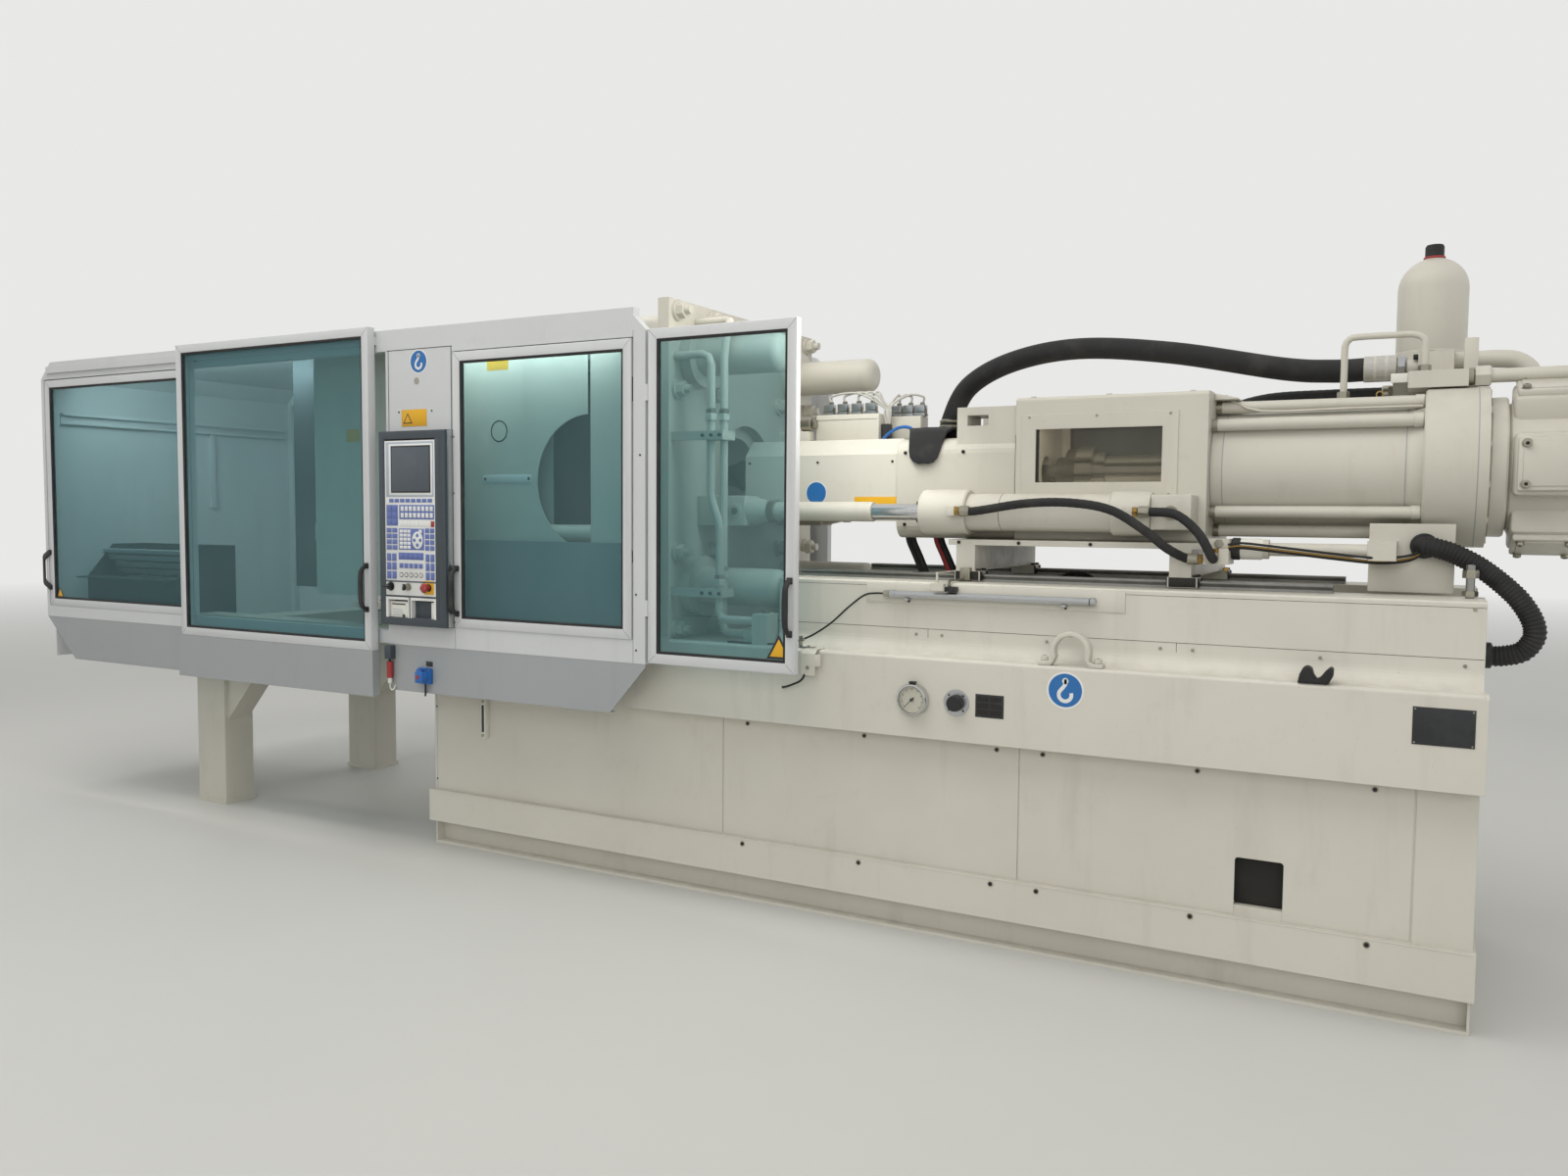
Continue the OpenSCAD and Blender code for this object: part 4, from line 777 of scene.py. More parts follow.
def grown(label, tree, points, edges, values, finish_name, body, slot, replaces=(), sharp=32.0):
    """Runs a tree on points in millimetres and keeps the result as a plain mesh."""
    seed_mesh = bpy.data.meshes.new("seed_points")
    seed_mesh.from_pydata([Vector(p) * MM for p in points], edges, [])
    carrier = bpy.data.objects.new("seed_carrier", seed_mesh)
    bpy.context.scene.collection.objects.link(carrier)
    modifier = carrier.modifiers.new("grow", "NODES")
    modifier.node_group = tree
    names = {s.name: s.identifier for s in tree.interface.items_tree if s.in_out == "INPUT"}
    for key, value in {**values, "Material": finish(finish_name)}.items():
        modifier[names[key]] = value
    carrier.update_tag()
    evaluated = carrier.evaluated_get(bpy.context.evaluated_depsgraph_get())
    data = bpy.data.meshes.new_from_object(evaluated)
    data.name = label
    bpy.data.objects.remove(carrier)
    if not data.polygons:
        raise RuntimeError(f"{label}: the tree {tree.name} made nothing")
    return settle(bpy.data.objects.new(label, data), body, slot, replaces, sharp)


FACING = {"-y": (math.pi / 2, 0.0, 0.0), "+y": (-math.pi / 2, 0.0, 0.0), "+z": (0.0, 0.0, 0.0),
          "+x": (0.0, math.pi / 2, 0.0), "-x": (0.0, -math.pi / 2, 0.0)}


def screws(label, points, facing, d, height, body, finish_name="black_oxide", slot="black_steel", sides=14):
    """Screw heads at the given points, all facing one way."""
    return grown(label, screw_tree(), points, [], {
        "Radius": d / 2 * MM, "Height": height * MM, "Sides": sides, "Turn": FACING[facing]}, finish_name,
        body, slot)


def hose(label, points, d, body, rib=0.0, pitch=10.0, step=8.0, finish_name="black_rubber",
         slot="hose_rubber", replaces=()):
    """A hose or pipe along a smooth route."""
    path = smooth_route(points, 8)
    return grown(label, hose_tree(), path, [(i, i + 1) for i in range(len(path) - 1)], {
        "Radius": d / 2 * MM, "Rib": rib * MM, "Pitch": pitch * MM, "Step": step * MM}, finish_name, body,
        slot,
        replaces, 60.0)


# What a user of the add-on may change

def colour(name, description, code):
    return bpy.props.FloatVectorProperty(name=name, description=description, subtype="COLOR", size=4,
                                         default=linear(code), min=0.0, max=1.0)


def length(name, description, default, low, high):
    return bpy.props.FloatProperty(name=name, description=description, unit="LENGTH", default=default,
                                   min=low, max=high)


class MouldingColours(bpy.types.PropertyGroup):
    floor: colour("Floor", "Colour of the studio floor", "#C4C4C1")
    light: colour("Light", "Colour of the soft light", "#FFFDF8")


class MouldingSizes(bpy.types.PropertyGroup):
    stile: length("Door profile", "Width of a door's frame profile", 0.038, 0.03, 0.05)
    gasket: length("Gasket", "Visible width of the black window gasket", 0.011, 0.005, 0.02)
    panel_screw: length("Panel screw", "Head of the cabinet's panel screws", 0.013, 0.008, 0.02)
    small_screw: length("Small screw", "Head of the small sheet screws", 0.008, 0.005, 0.012)
    rib_pitch: length("Hose ribs", "Pitch of the ribs on the corrugated hose", 0.0115, 0.006, 0.02)
    light_strength: bpy.props.FloatProperty(name="Room light", description="Strength of the even room light",
                                            default=0.56, min=0.0, max=2.0)


def sizes():
    return bpy.context.scene.moulding_sizes


# Stage

ROOM, ROOM_SEEN = "#F1F1EF", 0.92  # colour of the room, and how bright the eye sees it


def make_camera():
    """The photograph's view: place and turn were worked out from the machine's straight edges."""
    data = bpy.data.cameras.new("photo_camera")
    data.sensor_fit = "HORIZONTAL"
    data.sensor_width = 36.0
    data.lens = 27.045
    data.clip_start, data.clip_end = 0.05, 200.0
    camera = bpy.data.objects.new("photo_camera", data)
    right = Vector((0.87803, 0.47854, 0.00795))
    up = Vector((-0.03621, 0.04986, 0.99810))
    back = Vector((0.47724, -0.87665, 0.06111))
    camera.matrix_world = Matrix(((right.x, up.x, back.x, 2.95), (right.y, up.y, back.y, -4.38),
                                  (right.z, up.z, back.z, 1.4788), (0, 0, 0, 1)))
    bpy.context.scene.collection.objects.link(camera)
    bpy.context.scene.camera = camera


def seen(tree):
    """1 where the eye looks, straight, through a pane or by a reflection, and 0 for light that only falls."""
    path = add(tree, "ShaderNodeLightPath").outputs
    straight = product(tree, path["Is Camera Ray"], path["Is Transmission Ray"], "MAXIMUM")
    return product(tree, straight, path["Is Glossy Ray"], "MAXIMUM")


def studio_floor():
    # sealed pale concrete: faint clouding and a soft sheen; it fades into the pale room far out
    made, tree, shader, place = start_material("studio_floor")
    cloud = spread(tree, noise(tree, place, 0.8, 5.0, 0.6), 0.3, 0.7, 0.0, 0.35)
    tree.links.new(mixed(tree, cloud, tuple(bpy.context.scene.moulding_colours.floor), "#BDBDBB"),
                   shader.inputs["Base Color"])
    shader.inputs["Roughness"].default_value = 0.55
    shader.inputs["Specular IOR Level"].default_value = 0.25
    far = spread(tree, add(tree, "ShaderNodeVectorMath", {0: place}, operation="LENGTH").outputs["Value"],
                 7.0, 24.0)
    haze = add(tree, "ShaderNodeEmission", {0: linear(ROOM), 1: ROOM_SEEN})
    both = add(tree, "ShaderNodeMixShader", {0: product(tree, far, seen(tree)), 1: shader.outputs[0],
                                             2: haze.outputs[0]})
    to_surface(tree, both)
    return made


def make_floor():
    """A wide flat floor."""
    data = bpy.data.meshes.new("floor")
    data.from_pydata([(150 * math.cos(math.tau * i / 64), 150 * math.sin(math.tau * i / 64),
                       0.0) for i in range(64)],
                     [], [tuple(range(64))])
    data.materials.append(studio_floor())
    floor = bpy.data.objects.new("floor", data)
    bpy.context.scene.collection.objects.link(floor)
    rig.stage(floor)


def area_light(label, at, towards, width, height, watts):
    data = bpy.data.lights.new(label, "AREA")
    data.shape = "RECTANGLE"
    data.size, data.size_y, data.energy = width, height, watts
    data.color = bpy.context.scene.moulding_colours.light[:3]
    lamp = bpy.data.objects.new(label, data)
    lamp.location = at
    lamp.rotation_mode = "QUATERNION"
    lamp.rotation_quaternion = (Vector(towards) - Vector(at)).to_track_quat("-Z", "Y")
    lamp.visible_camera = lamp.visible_glossy = lamp.visible_transmission = False
    bpy.context.scene.collection.objects.link(lamp)


def make_light():
    """Even pale room light, one wide roof light, two soft sides and the daylight in the clamp."""
    world = bpy.data.worlds.new("room")
    world.use_nodes = True
    tree = world.node_tree
    tree.nodes.clear()
    light = bpy.context.scene.moulding_sizes.light_strength
    strength = spread(tree, seen(tree), 0.0, 1.0, light, ROOM_SEEN)
    shade = add(tree, "ShaderNodeBackground", {"Color": linear(ROOM), "Strength": strength})
    add(tree, "ShaderNodeOutputWorld", {0: shade.outputs[0]})
    bpy.context.scene.world = world
    area_light("roof_light", (-1.0, -2.5, 6.5), (0.0, -0.2, 1.0), 9.0, 4.0, 300)
    area_light("front_light", (4.5, -8.0, 3.6), (0.4, 0.0, 1.2), 6.0, 3.5, 165)
    area_light("end_light", (9.0, 1.5, 4.0), (2.0, 0.0, 1.3), 4.0, 3.0, 85)
    area_light("back_light", (-2.0, 8.0, 4.5), (0.0, 0.0, 1.2), 7.0, 3.5, 140)
    area_light("clamp_light", (-2.45, -0.62, 2.16), (-2.55, 0.6, 1.55), 1.5, 0.12, 12)
    area_light("mould_light", (-0.3, -0.66, 2.19), (-0.3, -0.45, 1.2), 0.9, 0.08, 3)
    area_light("nozzle_light", (1.15, -0.62, 2.15), (0.4, -0.5, 1.5), 0.3, 0.9, 5)
    area_light("coupling_light", (1.94, -0.19, 1.80), (1.92, 0.0, 1.62), 0.4, 0.02, 1.2)


# Solids of the frame that keep their shape

DRESSED = {
    "cream_sheet": (
        "base_frame", "front_panel_left", "front_panel_mid", "front_panel_right", "rear_panels",
        "bed", "barrel_cover"),
    "cream_enamel": (
        "clamp_frame", "legs", "cylinder_plate", "dome_covers", "clamp_hydraulics",
        "carriage_feet", "injection_housing", "injection_cylinder", "cylinder_tie_rods",
        "screw_motor", "accumulator", "hydraulic_pipes", "carriage_cylinders", "hood_fittings"),
    "platen_casting": ("fixed_platen", "moving_platen"),
    "hard_chrome": ("tie_bars", "travel_rods", "piston_rod", "carriage_rods"),
    "grey_profile": ("guard_frame", "guard_rear", "rear_door", "door_1", "door_2", "door_3", "door_4"),
    "inner_paint": ("inner_sheets",),
    "grey_apron": ("apron_left", "apron_mid", "apron_door"),
    "window_pane": ("door_1_glass", "door_2_glass", "door_3_glass", "door_4_glass"),
    "cover_sheets": ("platen_cover",),
    "ground_steel": ("ejector", "linear_rails", "barrel", "screw", "key_switch"),
    "black_oxide": ("feed_slide",),
    "drawn_aluminium": ("transducer",),
    "black_plastic": ("pressure_gauge", "gauge_needle", "valve_knob", "selector_switch"),
    "blue_plastic": ("socket_box",),
    "black_rubber": ("carriage_hoses", "bed_hose"),
    "red_plastic": ("estop_button",),
    "slate_paint": ("hmi_case",),
    "foil_white": ("hmi_front",),
}


def dress_solids():
    """Gives every solid of the frame the finish of its real surface."""
    for name, nodes in DRESSED.items():
        for node in nodes:
            materials = frame["nodes"][node].data.materials
            materials.clear()
            materials.append(finish(name))


# Guard doors

DOORS = {  # x0, x1, z0, z1, front face, depth, body
    1: (-3423.7, -2236, 976.3, 2153, -779, 30, "door_left"),
    2: (-2261, -985, 890, 2258, -830, 40, "door_main"),
    3: (-550, 340, 1009.3, 2132, -786, 30, "door_mould"),
    4: (412, 1033, 925, 2160, -780, 30, "door_nozzle"),
}


def make_door(number):
    """A mitred frame of rounded profile with its pane's rebate, black gaskets and corner joints."""
    x0, x1, z0, z1, y, depth, body = DOORS[number]
    w = sizes().stile / MM
    lip = sizes().gasket / MM
    shape = Shape()
    shape.frame_ring(x0, x1, z0, z1, [
        (0.3, y + depth - 1), (0, y + 3), (1.0, y + 1.0), (3, y), (w - 3, y), (w - 1, y + 0.8), (w, y + 3),
        (w, y + 9.6), (w - 8, y + 9.6), (w - 8, y + 16.6), (w, y + 16.6), (w, y + depth - 1),
        (w - 1, y + depth),
        (1.3, y + depth)], "grey_profile")
    # gasket in front of the pane and a narrower one behind it
    shape.frame_ring(x0 + w - 1, x1 - w + 1, z0 + w - 1, z1 - w + 1, [
        (0, y + 2.2), (lip * 0.7, y + 3.2), (lip, y + 5.5), (lip, y + 10.0), (0, y + 10.0)], "black_rubber")
    shape.frame_ring(x0 + w - 1, x1 - w + 1, z0 + w - 1, z1 - w + 1, [
        (0, y + 16.3), (lip * 0.8, y + 16.3), (lip * 0.8, y + 19), (0, y + 20.5)], "black_rubber")
    # mitre joints show as fine lines across the corners
    for cx, cz, sx, sz in ((x0, z0, 1, 1), (x1, z0, -1, 1), (x1, z1, -1, -1), (x0, z1, 1, -1)):
        a, b, t = 3.0, w - 3.0, 0.35
        shape.prism("y", [(cx + sx * a - sx * t, cz + sz * a + sz * t),
                          (cx + sx * a + sx * t, cz + sz * a - sz * t),
                          (cx + sx * b + sx * t, cz + sz * b - sz * t),
                          (cx + sx * b - sx * t, cz + sz * b + sz * t)],
                    y - 0.12, y + 0.3, "dark_cavity", 0)
    shape.done(f"door_{number}_frame", body, "guard_paint", (f"door_{number}",))


def bow_handle(label, x, y, z, body, outward=-1):
    """A moulded bow handle: a swept bar of soft oval section with a grip swelling and two screwed feet."""
    shape = Shape()
    path = [(x, y, z - 93), (x, y + outward * 14, z - 90), (x, y + outward * 33, z - 70),
            (x, y + outward * 37, z - 35),
            (x, y + outward * 37.5, z), (x, y + outward * 37, z + 35), (x, y + outward * 33, z + 70),
            (x, y + outward * 14, z + 90), (x, y, z + 93)]
    route = smooth_route(path, 4)
    rings = []
    for i, p in enumerate(route):
        ahead = (route[min(i + 1, len(route) - 1)] - route[max(i - 1, 0)]).normalized()
        out = ahead.cross(Vector((1, 0, 0))).normalized()
        swell = 1.0 + 0.12 * math.cos((p.z - z) / 93 * math.pi / 2) ** 2
        rings.append([p + Vector((10.5, 0, 0)) * math.cos(math.tau * k / 16) * swell
                      + out * 8.8 * math.sin(math.tau * k / 16) * swell for k in range(16)])
    shape.loft(rings, "black_plastic")
    for s in (-1, 1):
        low, high = sorted((y, y + outward * 9))
        shape.box(x - 11, x + 11, low, high, z + s * 93 - 12, z + s * 93 + 12, "black_plastic", 3.0)
        a, b = sorted((y + outward * 9, y + outward * 11))
        shape.rod("y", (x, z + s * 97), 8, a, b, "black_oxide", 16, 0.6)
    shape.done(label, body, "black_plastic")


def flat_grip():
    """The bent flat grip of the end door, which passes behind the sliding door."""
    shape = Shape()
    x, y = -3424, -788
    shape.prism("y", [(x + 22, 1060), (x + 22, 1085), (x - 24, 1109), (x - 30, 1120), (x - 30, 1210),
                      (x - 24, 1221),
                      (x + 22, 1245), (x + 22, 1270), (x + 6, 1270), (x - 40, 1246), (x - 48, 1232),
                      (x - 48, 1098), (x - 40, 1084), (x + 6, 1060)], y, y + 7.5, "black_plastic", 2.2)
    for z in (1072, 1257):
        shape.box(x + 1, x + 22, y + 7.5, y + 9, z - 12, z + 12, "black_plastic", 0.5)
        shape.rod("y", (x + 13, z), 9, y - 2, y, "black_oxide", 16, 0.6)
    shape.done("door_1_grip", "door_left", "black_plastic")


def guard_trim():
    """Seams, seals and small fixings of the guard's own frame."""
    shape = Shape()
    y = GUARD_FRONT
    # seam between the header and the hung switch panel, and its side gaps
    shape.box(-925, -556, y - 0.4, y + 2, 2156, 2159, "dark_cavity", 0)
    shape.box(-563, -559, y - 0.4, y + 2, 1820, 2156, "dark_cavity", 0)
    shape.box(-918, -915, y - 0.4, y + 2, 1820, 2156, "dark_cavity", 0)
    # joint lines of the uprights and the lower rail
    shape.box(345.4, 346.6, y - 0.3, y + 2, 920, 2160, "dark_cavity", 0)
    shape.box(-551, -549.8, y - 0.3, y + 2, 920, 1008, "dark_cavity", 0)
    # brush seal under the header, over door 3, and drip edge
    shape.box(-548, 338, y + 6, y + 26, 2128, 2137, "black_rubber", 1)
    shape.box(-548, 338, y + 6, y + 26, 1004, 1011, "black_rubber", 1)
    # aluminium strip at the right of the control panel
    shape.box(-551.5, -544, y - 5, y, 1010, 1815, "drawn_aluminium", 1.5)
    # lock strip and catch blocks on door 3's free stile
    shape.box(336, 345, y + 2, y + 24, 1300, 1344, "black_rubber", 1)
    shape.box(336, 345, y + 2, y + 24, 1900, 1990, "black_rubber", 1)
    shape.done("guard_trim", "frame", "guard_paint")
    screws("guard_screws", [(-670, -780, 1900), (-857, -780, 1900), (360, -780, 1180),
                            (360, -780, 970), (378, -780, 1700), (-545, -785, 1790), (-545, -785, 1560),
                            (-545, -785, 1240), (-545, -785, 1030)], "-y", 8, 1.6, "frame")


def sliding_gear():
    """Rollers and the hanging rail behind the sliding door."""
    shape = Shape()
    for x in (-2180, -1070):
        shape.rod("y", (x, 2204), 44, -789, -779, "black_plastic", 28, 2)
    shape.box(-2250, -996, -789, -784, 2224, 2229, "drawn_aluminium", 1)
    shape.done("door_2_rollers", "door_main", "black_plastic")


def safety_plug():
    """Safety plug on its lead, hanging beside the sliding door's apron."""
    shape = Shape()
    shape.box(-930, -894, -809, -781, 858, 915, "slate_paint", 2)
    shape.rod("z", (-913, -795), 27, 776, 846, "red_plastic", 24, 3)
    shape.rod("z", (-913, -795), 19, 752, 777, "white_plastic", 24, 2)
    shape.tube([(-913, -795, 846), (-913, -795, 862), (-914, -794, 874)], 12, "black_rubber", 10)
    shape.tube([(-913, -795, 753), (-912, -795, 735), (-905, -793, 724), (-897, -789, 729),
                (-893, -784, 745)],
               6, "white_plastic", 10)
    shape.done("safety_plug", "frame", "red_plastic")


# Control panel

CASE_X, CASE_Z, CASE_Y = (-928, -552), (1008, 1818), -830


def panel_case():
    """The slate case of the control panel: rounded shell, recessed front, two open bays."""
    (x0, x1), (z0, z1), y = CASE_X, CASE_Z, CASE_Y
    shape = Shape()
    k0, k1, bay = -894, -608, 1134
    shape.frame_ring(x0, x1, z0, z1, [(0, -780.3), (0, y + 5), (1.5, y + 1.5), (5, y), (30, y), (33, y + 1.0),
                                      (34, y + 3), (34, -780.3)], "slate_paint")
    shape.box(k1 - 1, x1 - 33, y + 0.6, -780.3, z0 + 33, z1 - 33, "slate_paint", 1.5)
    # dark back of the front's recess: painted shade
    shape.box(k0, k1, y + 8, -780.3, bay, z1 - 34, "dark_cavity", 0)
    shape.box(k0 - 1, k1, y + 1, y + 40, bay - 8, bay - 0.5, "slate_paint", 1)
    # two bays: pockets whose dark backs are painted shade, with their drives
    for a, b in ((-882, -766), (-748, -620)):
        shape.frame_ring(a - 12, b + 12, 1014, 1128, [(0, y + 10), (0, y + 1), (12, y + 1), (12, y + 12),
                                                      (12, y + 40), (0, y + 40)], "foil_white")
        shape.box(a, b, y + 40, y + 44, 1026, 1116, "dark_cavity", 0)
    shape.box(-876, -772, y + 10, y + 40, 1029, 1108, "white_plastic", 2)
    shape.box(-868, -792, y + 9.3, y + 10, 1094, 1099, "dark_cavity", 0)
    for z in (1052, 1062, 1072):
        shape.box(-862, -806, y + 9.4, y + 10, z, z + 3, "foil_pale", 0)
    shape.rod("y", (-800, 1048), 15, y + 7, y + 10, "black_plastic", 20, 1)
    shape.box(-746, -652, y + 22, y + 40, 1028, 1112, "slate_paint", 2)
    shape.box(-640, -623, y + 6, y + 40, 1030, 1110, "white_plastic", 1.5)
    # pale sheet on the flank behind the slate front
    shape.box(x1 - 0.4, x1 + 0.4, y + 14, -780.3, z0 + 2, z1 - 2, "drawn_aluminium", 0.2)
    shape.done("control_case", "frame", "panel_slate", ("hmi_case",))


def key_grid(shape, x0, x1, z0, z1, across, down, name, gap=4.0, lift=1.6, y=FOIL_FRONT):
    """A block of foil keys, each with its own soft raised edge."""
    w, h = (x1 - x0) / across, (z1 - z0) / down
    for i in range(across):
        for j in range(down):
            shape.box(x0 + i * w + gap / 2, x0 + (i + 1) * w - gap / 2, y - lift, y + 0.2,
                      z0 + j * h + gap / 2, z0 + (j + 1) * h - gap / 2, name, 1.2)


def panel_front():
    """The foil front: screen in its bezel, coloured key blocks, keypad and cursor pad."""
    y = FOIL_FRONT
    shape = Shape()
    shape.box(-893.7, -608.3, y, y + 6, 1134.3, 1777.7, "foil_white", 1)
    # screen surround and screen
    shape.box(-886, -616, y - 0.8, y, 1545, 1772, "foil_pale", 0.4)
    shape.box(-868, -622, y - 1.4, y - 0.8, 1552, 1764, "foil_white", 0.4)
    shape.box(-856, -632, y - 2.4, y - 1.4, 1562, 1756, "black_plastic", 0.8)
    shape.box(-850, -638, y - 2.8, y - 2.4, 1568, 1750, "foil_slate", 0.2)
    key_grid(shape, -872, -622, 1519, 1540, 8, 1, "foil_blue", 6)
    # blue grounds behind the icon keys
    shape.box(-886, -820, y - 0.6, y, 1425, 1512, "foil_blue", 0.4)
    shape.box(-812, -614, y - 0.6, y, 1452, 1512, "foil_blue", 0.4)
    key_grid(shape, -882, -824, 1428, 1510, 2, 3, "foil_blue", 5, 2.2)
    key_grid(shape, -806, -618, 1455, 1510, 8, 2, "foil_white", 8, 2.0)
    key_grid(shape, -812, -634, 1421, 1445, 8, 1, "foil_white", 5, 2.0)
    shape.box(-632, -614, y - 2.0, y, 1421, 1445, "red_plastic", 1)
    # keypad, cursor pad and side columns
    shape.box(-816, -672, y - 0.6, y, 1325, 1414, "foil_blue", 0.4)
    key_grid(shape, -812, -746, 1328, 1411, 3, 5, "foil_white", 4, 2.2)
    shape.prism("y", [(-709 + 30 * math.cos(math.tau * i / 32), 1366 + 36 * math.sin(math.tau * i / 32))
                      for i in range(32)], y - 1.6, y, "foil_white", 0.6)
    for dx, dz in ((-17, 0), (17, 0), (0, 20), (0, -20)):
        shape.rod("y", (-709 + dx, 1366 + dz), 15, y - 3.0, y - 1.4, "foil_blue", 20, 0.8)
    shape.box(-700, -684, y - 2.2, y, 1396, 1410, "foil_white", 0.8)
    key_grid(shape, -888, -822, 1322, 1418, 2, 4, "foil_blue", 5, 2.2)
    key_grid(shape, -668, -612, 1322, 1418, 2, 4, "foil_blue", 5, 2.2)
    # lower rows
    key_grid(shape, -888, -828, 1200, 1312, 2, 3, "foil_blue", 6, 2.2)
    key_grid(shape, -666, -612, 1200, 1312, 2, 3, "foil_blue", 6, 2.2)
    shape.box(-818, -676, y - 0.6, y, 1284, 1314, "foil_blue", 0.4)
    key_grid(shape, -814, -680, 1287, 1311, 5, 1, "foil_blue", 5, 2.2)
    key_grid(shape, -816, -678, 1246, 1272, 5, 1, "foil_blue", 6, 2.2)
    for i in range(5):
        x = -803 + i * 28
        shape.ring("y", (x, 1221), 10.5, 7.6, y - 1.8, y, "foil_slate", 24, 0.6)
        shape.rod("y", (x, 1221), 15, y - 2.2, y, "white_plastic", 24, 0.8)
    shape.box(-893, -609, y - 1.2, y, 1190, 1196, "foil_slate", 0.3)
    shape.done("control_front", "frame", "key_foil", ("hmi_front",))


def panel_switches():
    """Key switch, selector and stop button, each with its bezel on the switch strip."""
    y = FOIL_FRONT
    bezels = Shape()
    bezels.ring("y", (-864, 1171), 19, 12.3, y - 4, y, "black_plastic", 36)
    bezels.ring("y", (-764, 1171), 17, 12.3, y - 4, y, "zinc_fitting", 36)
    bezels.box(-676, -620, y - 1, y, 1143, 1199, "yellow_foil", 0.5)
    bezels.ring("y", (-648, 1171), 16, 12.3, y - 5, y - 1, "black_plastic", 36)
    bezels.done("switch_bezels", "frame", "black_plastic")
    key = Shape()
    key.turned("y", (-864, 1171), [(0, -850), (10, -850), (11.7, -848), (11.7, -822), (0, -822)],
               "black_plastic", 32)
    key.box(-877.5, -850.5, -866, -850, 1167.2, 1174.8, "black_plastic", 1.5)
    key.rod("y", (-864, 1171), 15, -854, -849, "ground_steel", 24, 1)
    key.done("key_switch_head", "key", "steel_bright", ("key_switch",))
    selector = Shape()
    selector.turned("y", (-764, 1171), [(0, -850), (10.5, -850), (11.7, -848), (11.7, -822), (0, -822)],
                    "zinc_fitting", 32)
    selector.box(-769, -759, -860, -849, 1157.5, 1184.5, "black_plastic", 2)
    selector.box(-765, -763, -860.3, -859.6, 1174, 1183, "foil_white", 0)
    selector.done("selector_head", "selector", "black_plastic", ("selector_switch",))
    stop = Shape()
    stop.turned("y", (-648, 1171), [(0, -866), (9, -865.4), (15.5, -863), (19, -859), (20, -856),
                                    (20, -853.6), (18.4, -852),
                                    (12, -852), (11.7, -850), (11.7, -827.1), (0, -827.1)], "red_plastic", 40)
    for k in range(3):
        a = math.tau * k / 3
        stop.rod("y", (-648 + 12 * math.cos(a), 1171 + 12 * math.sin(a)), 3, -865.2, -862, "foil_white", 10,
                 0.2)
    stop.done("stop_head", "estop", "red_plastic", ("estop_button",))


# Signs without wording

def lifting_disc(label, centre, y, d):
    """A thin sticker disc: white rim, blue field and a plain hook shape for the lifting point."""
    x, z = centre
    r = d * 0.17
    shape = Shape()
    shape.rod("y", (x, z), d, y - 0.6, y, "foil_white", 48, 0.2)
    shape.rod("y", (x, z), d * 0.9, y - 0.9, y - 0.5, "blue_foil", 48, 0.2)
    hook = [(x - r * math.cos(a), y - 0.9, z - d * 0.12 + r * math.sin(a))
            for a in [math.radians(v) for v in range(-200, 60, 20)]]
    hook += [(x, y - 0.9, z + d * 0.16), (x, y - 0.9, z + d * 0.3)]
    shape.tube(hook, d * 0.1, "foil_white", 8, 2)
    shape.rod("y", (x, z + d * 0.25), r, y - 1.3, y - 0.5, "foil_white", 24, 0.1)
    # the hook is pressed flat into the foil
    for v in shape.mesh.verts:
        v.co.y = max(min(v.co.y, y), y - 1.3)
    shape.done(label, "frame", "blue_plastic")


def triangle_sign(shape, x, z, side, y):
    """A bare yellow triangle with a black rim."""
    h = side * 0.866
    outer = [(x - side / 2, z - h / 3), (x + side / 2, z - h / 3), (x, z + 2 * h / 3)]
    shape.prism("y", outer, y - 0.5, y, "black_plate", 0.2)
    inner = [(x + (u - x) * 0.72, z + (v - z) * 0.72) for u, v in outer]
    shape.prism("y", inner, y - 0.8, y - 0.4, "yellow_foil", 0.1)


def signs_and_plates():
    """Sticker fields and plates with their printing left off."""
    fixed = Shape()
    fixed.box(-842, -699, -781, -780, 1839, 1909, "yellow_foil", 0.2)
    triangle_sign(fixed, -806, 1866, 52, -781)
    # round plug in the switch panel
    fixed.rod("y", (-754, 2026), 28, -781.5, -780, "zinc_fitting", 28, 0.6)
    fixed.box(1634, 1733, -606.5, -605, 807, 885, "black_plate", 0.5)
    for i in range(3):
        for j in range(2):
            x0, z0 = 1641 + j * 45, 815 + i * 23
            fixed.box(x0, x0 + 39, -607, -606.4, z0, z0 + 17, "dark_cavity", 0)
    fixed.box(2934, 3090, -607, -605, 845, 953, "black_plate", 0.6)
    for x, z in ((2940, 851), (3084, 851), (2940, 947), (3084, 947)):
        fixed.rod("y", (x, z), 5, -608.2, -607, "zinc_fitting", 12, 0.3)
    fixed.done("plates_and_signs", "frame", "black_plastic")
    door = Shape()
    triangle_sign(door, 966, 1004, 100, -770.2)
    door.done("door_4_sign", "door_nozzle", "black_plastic")
    left = Shape()
    triangle_sign(left, -3350, 1040, 62, -769.2)
    left.done("door_1_sign", "door_left", "black_plastic")
    lifting_disc("lifting_disc_header", (-742, 2105), GUARD_FRONT, 100)
    lifting_disc("lifting_disc_hood", (1938, 920), HOOD_FRONT, 122)


# Cabinet and hood

PANEL_SCREWS = (701, 1190, 1687, 1847, 2343, 2844)
WALL_SCREWS = [(x, 1064) for x in (1374, 1470, 1844, 2214, 2313, 2682, 3061)] + [(1200, 1225), (3080, 1228)]


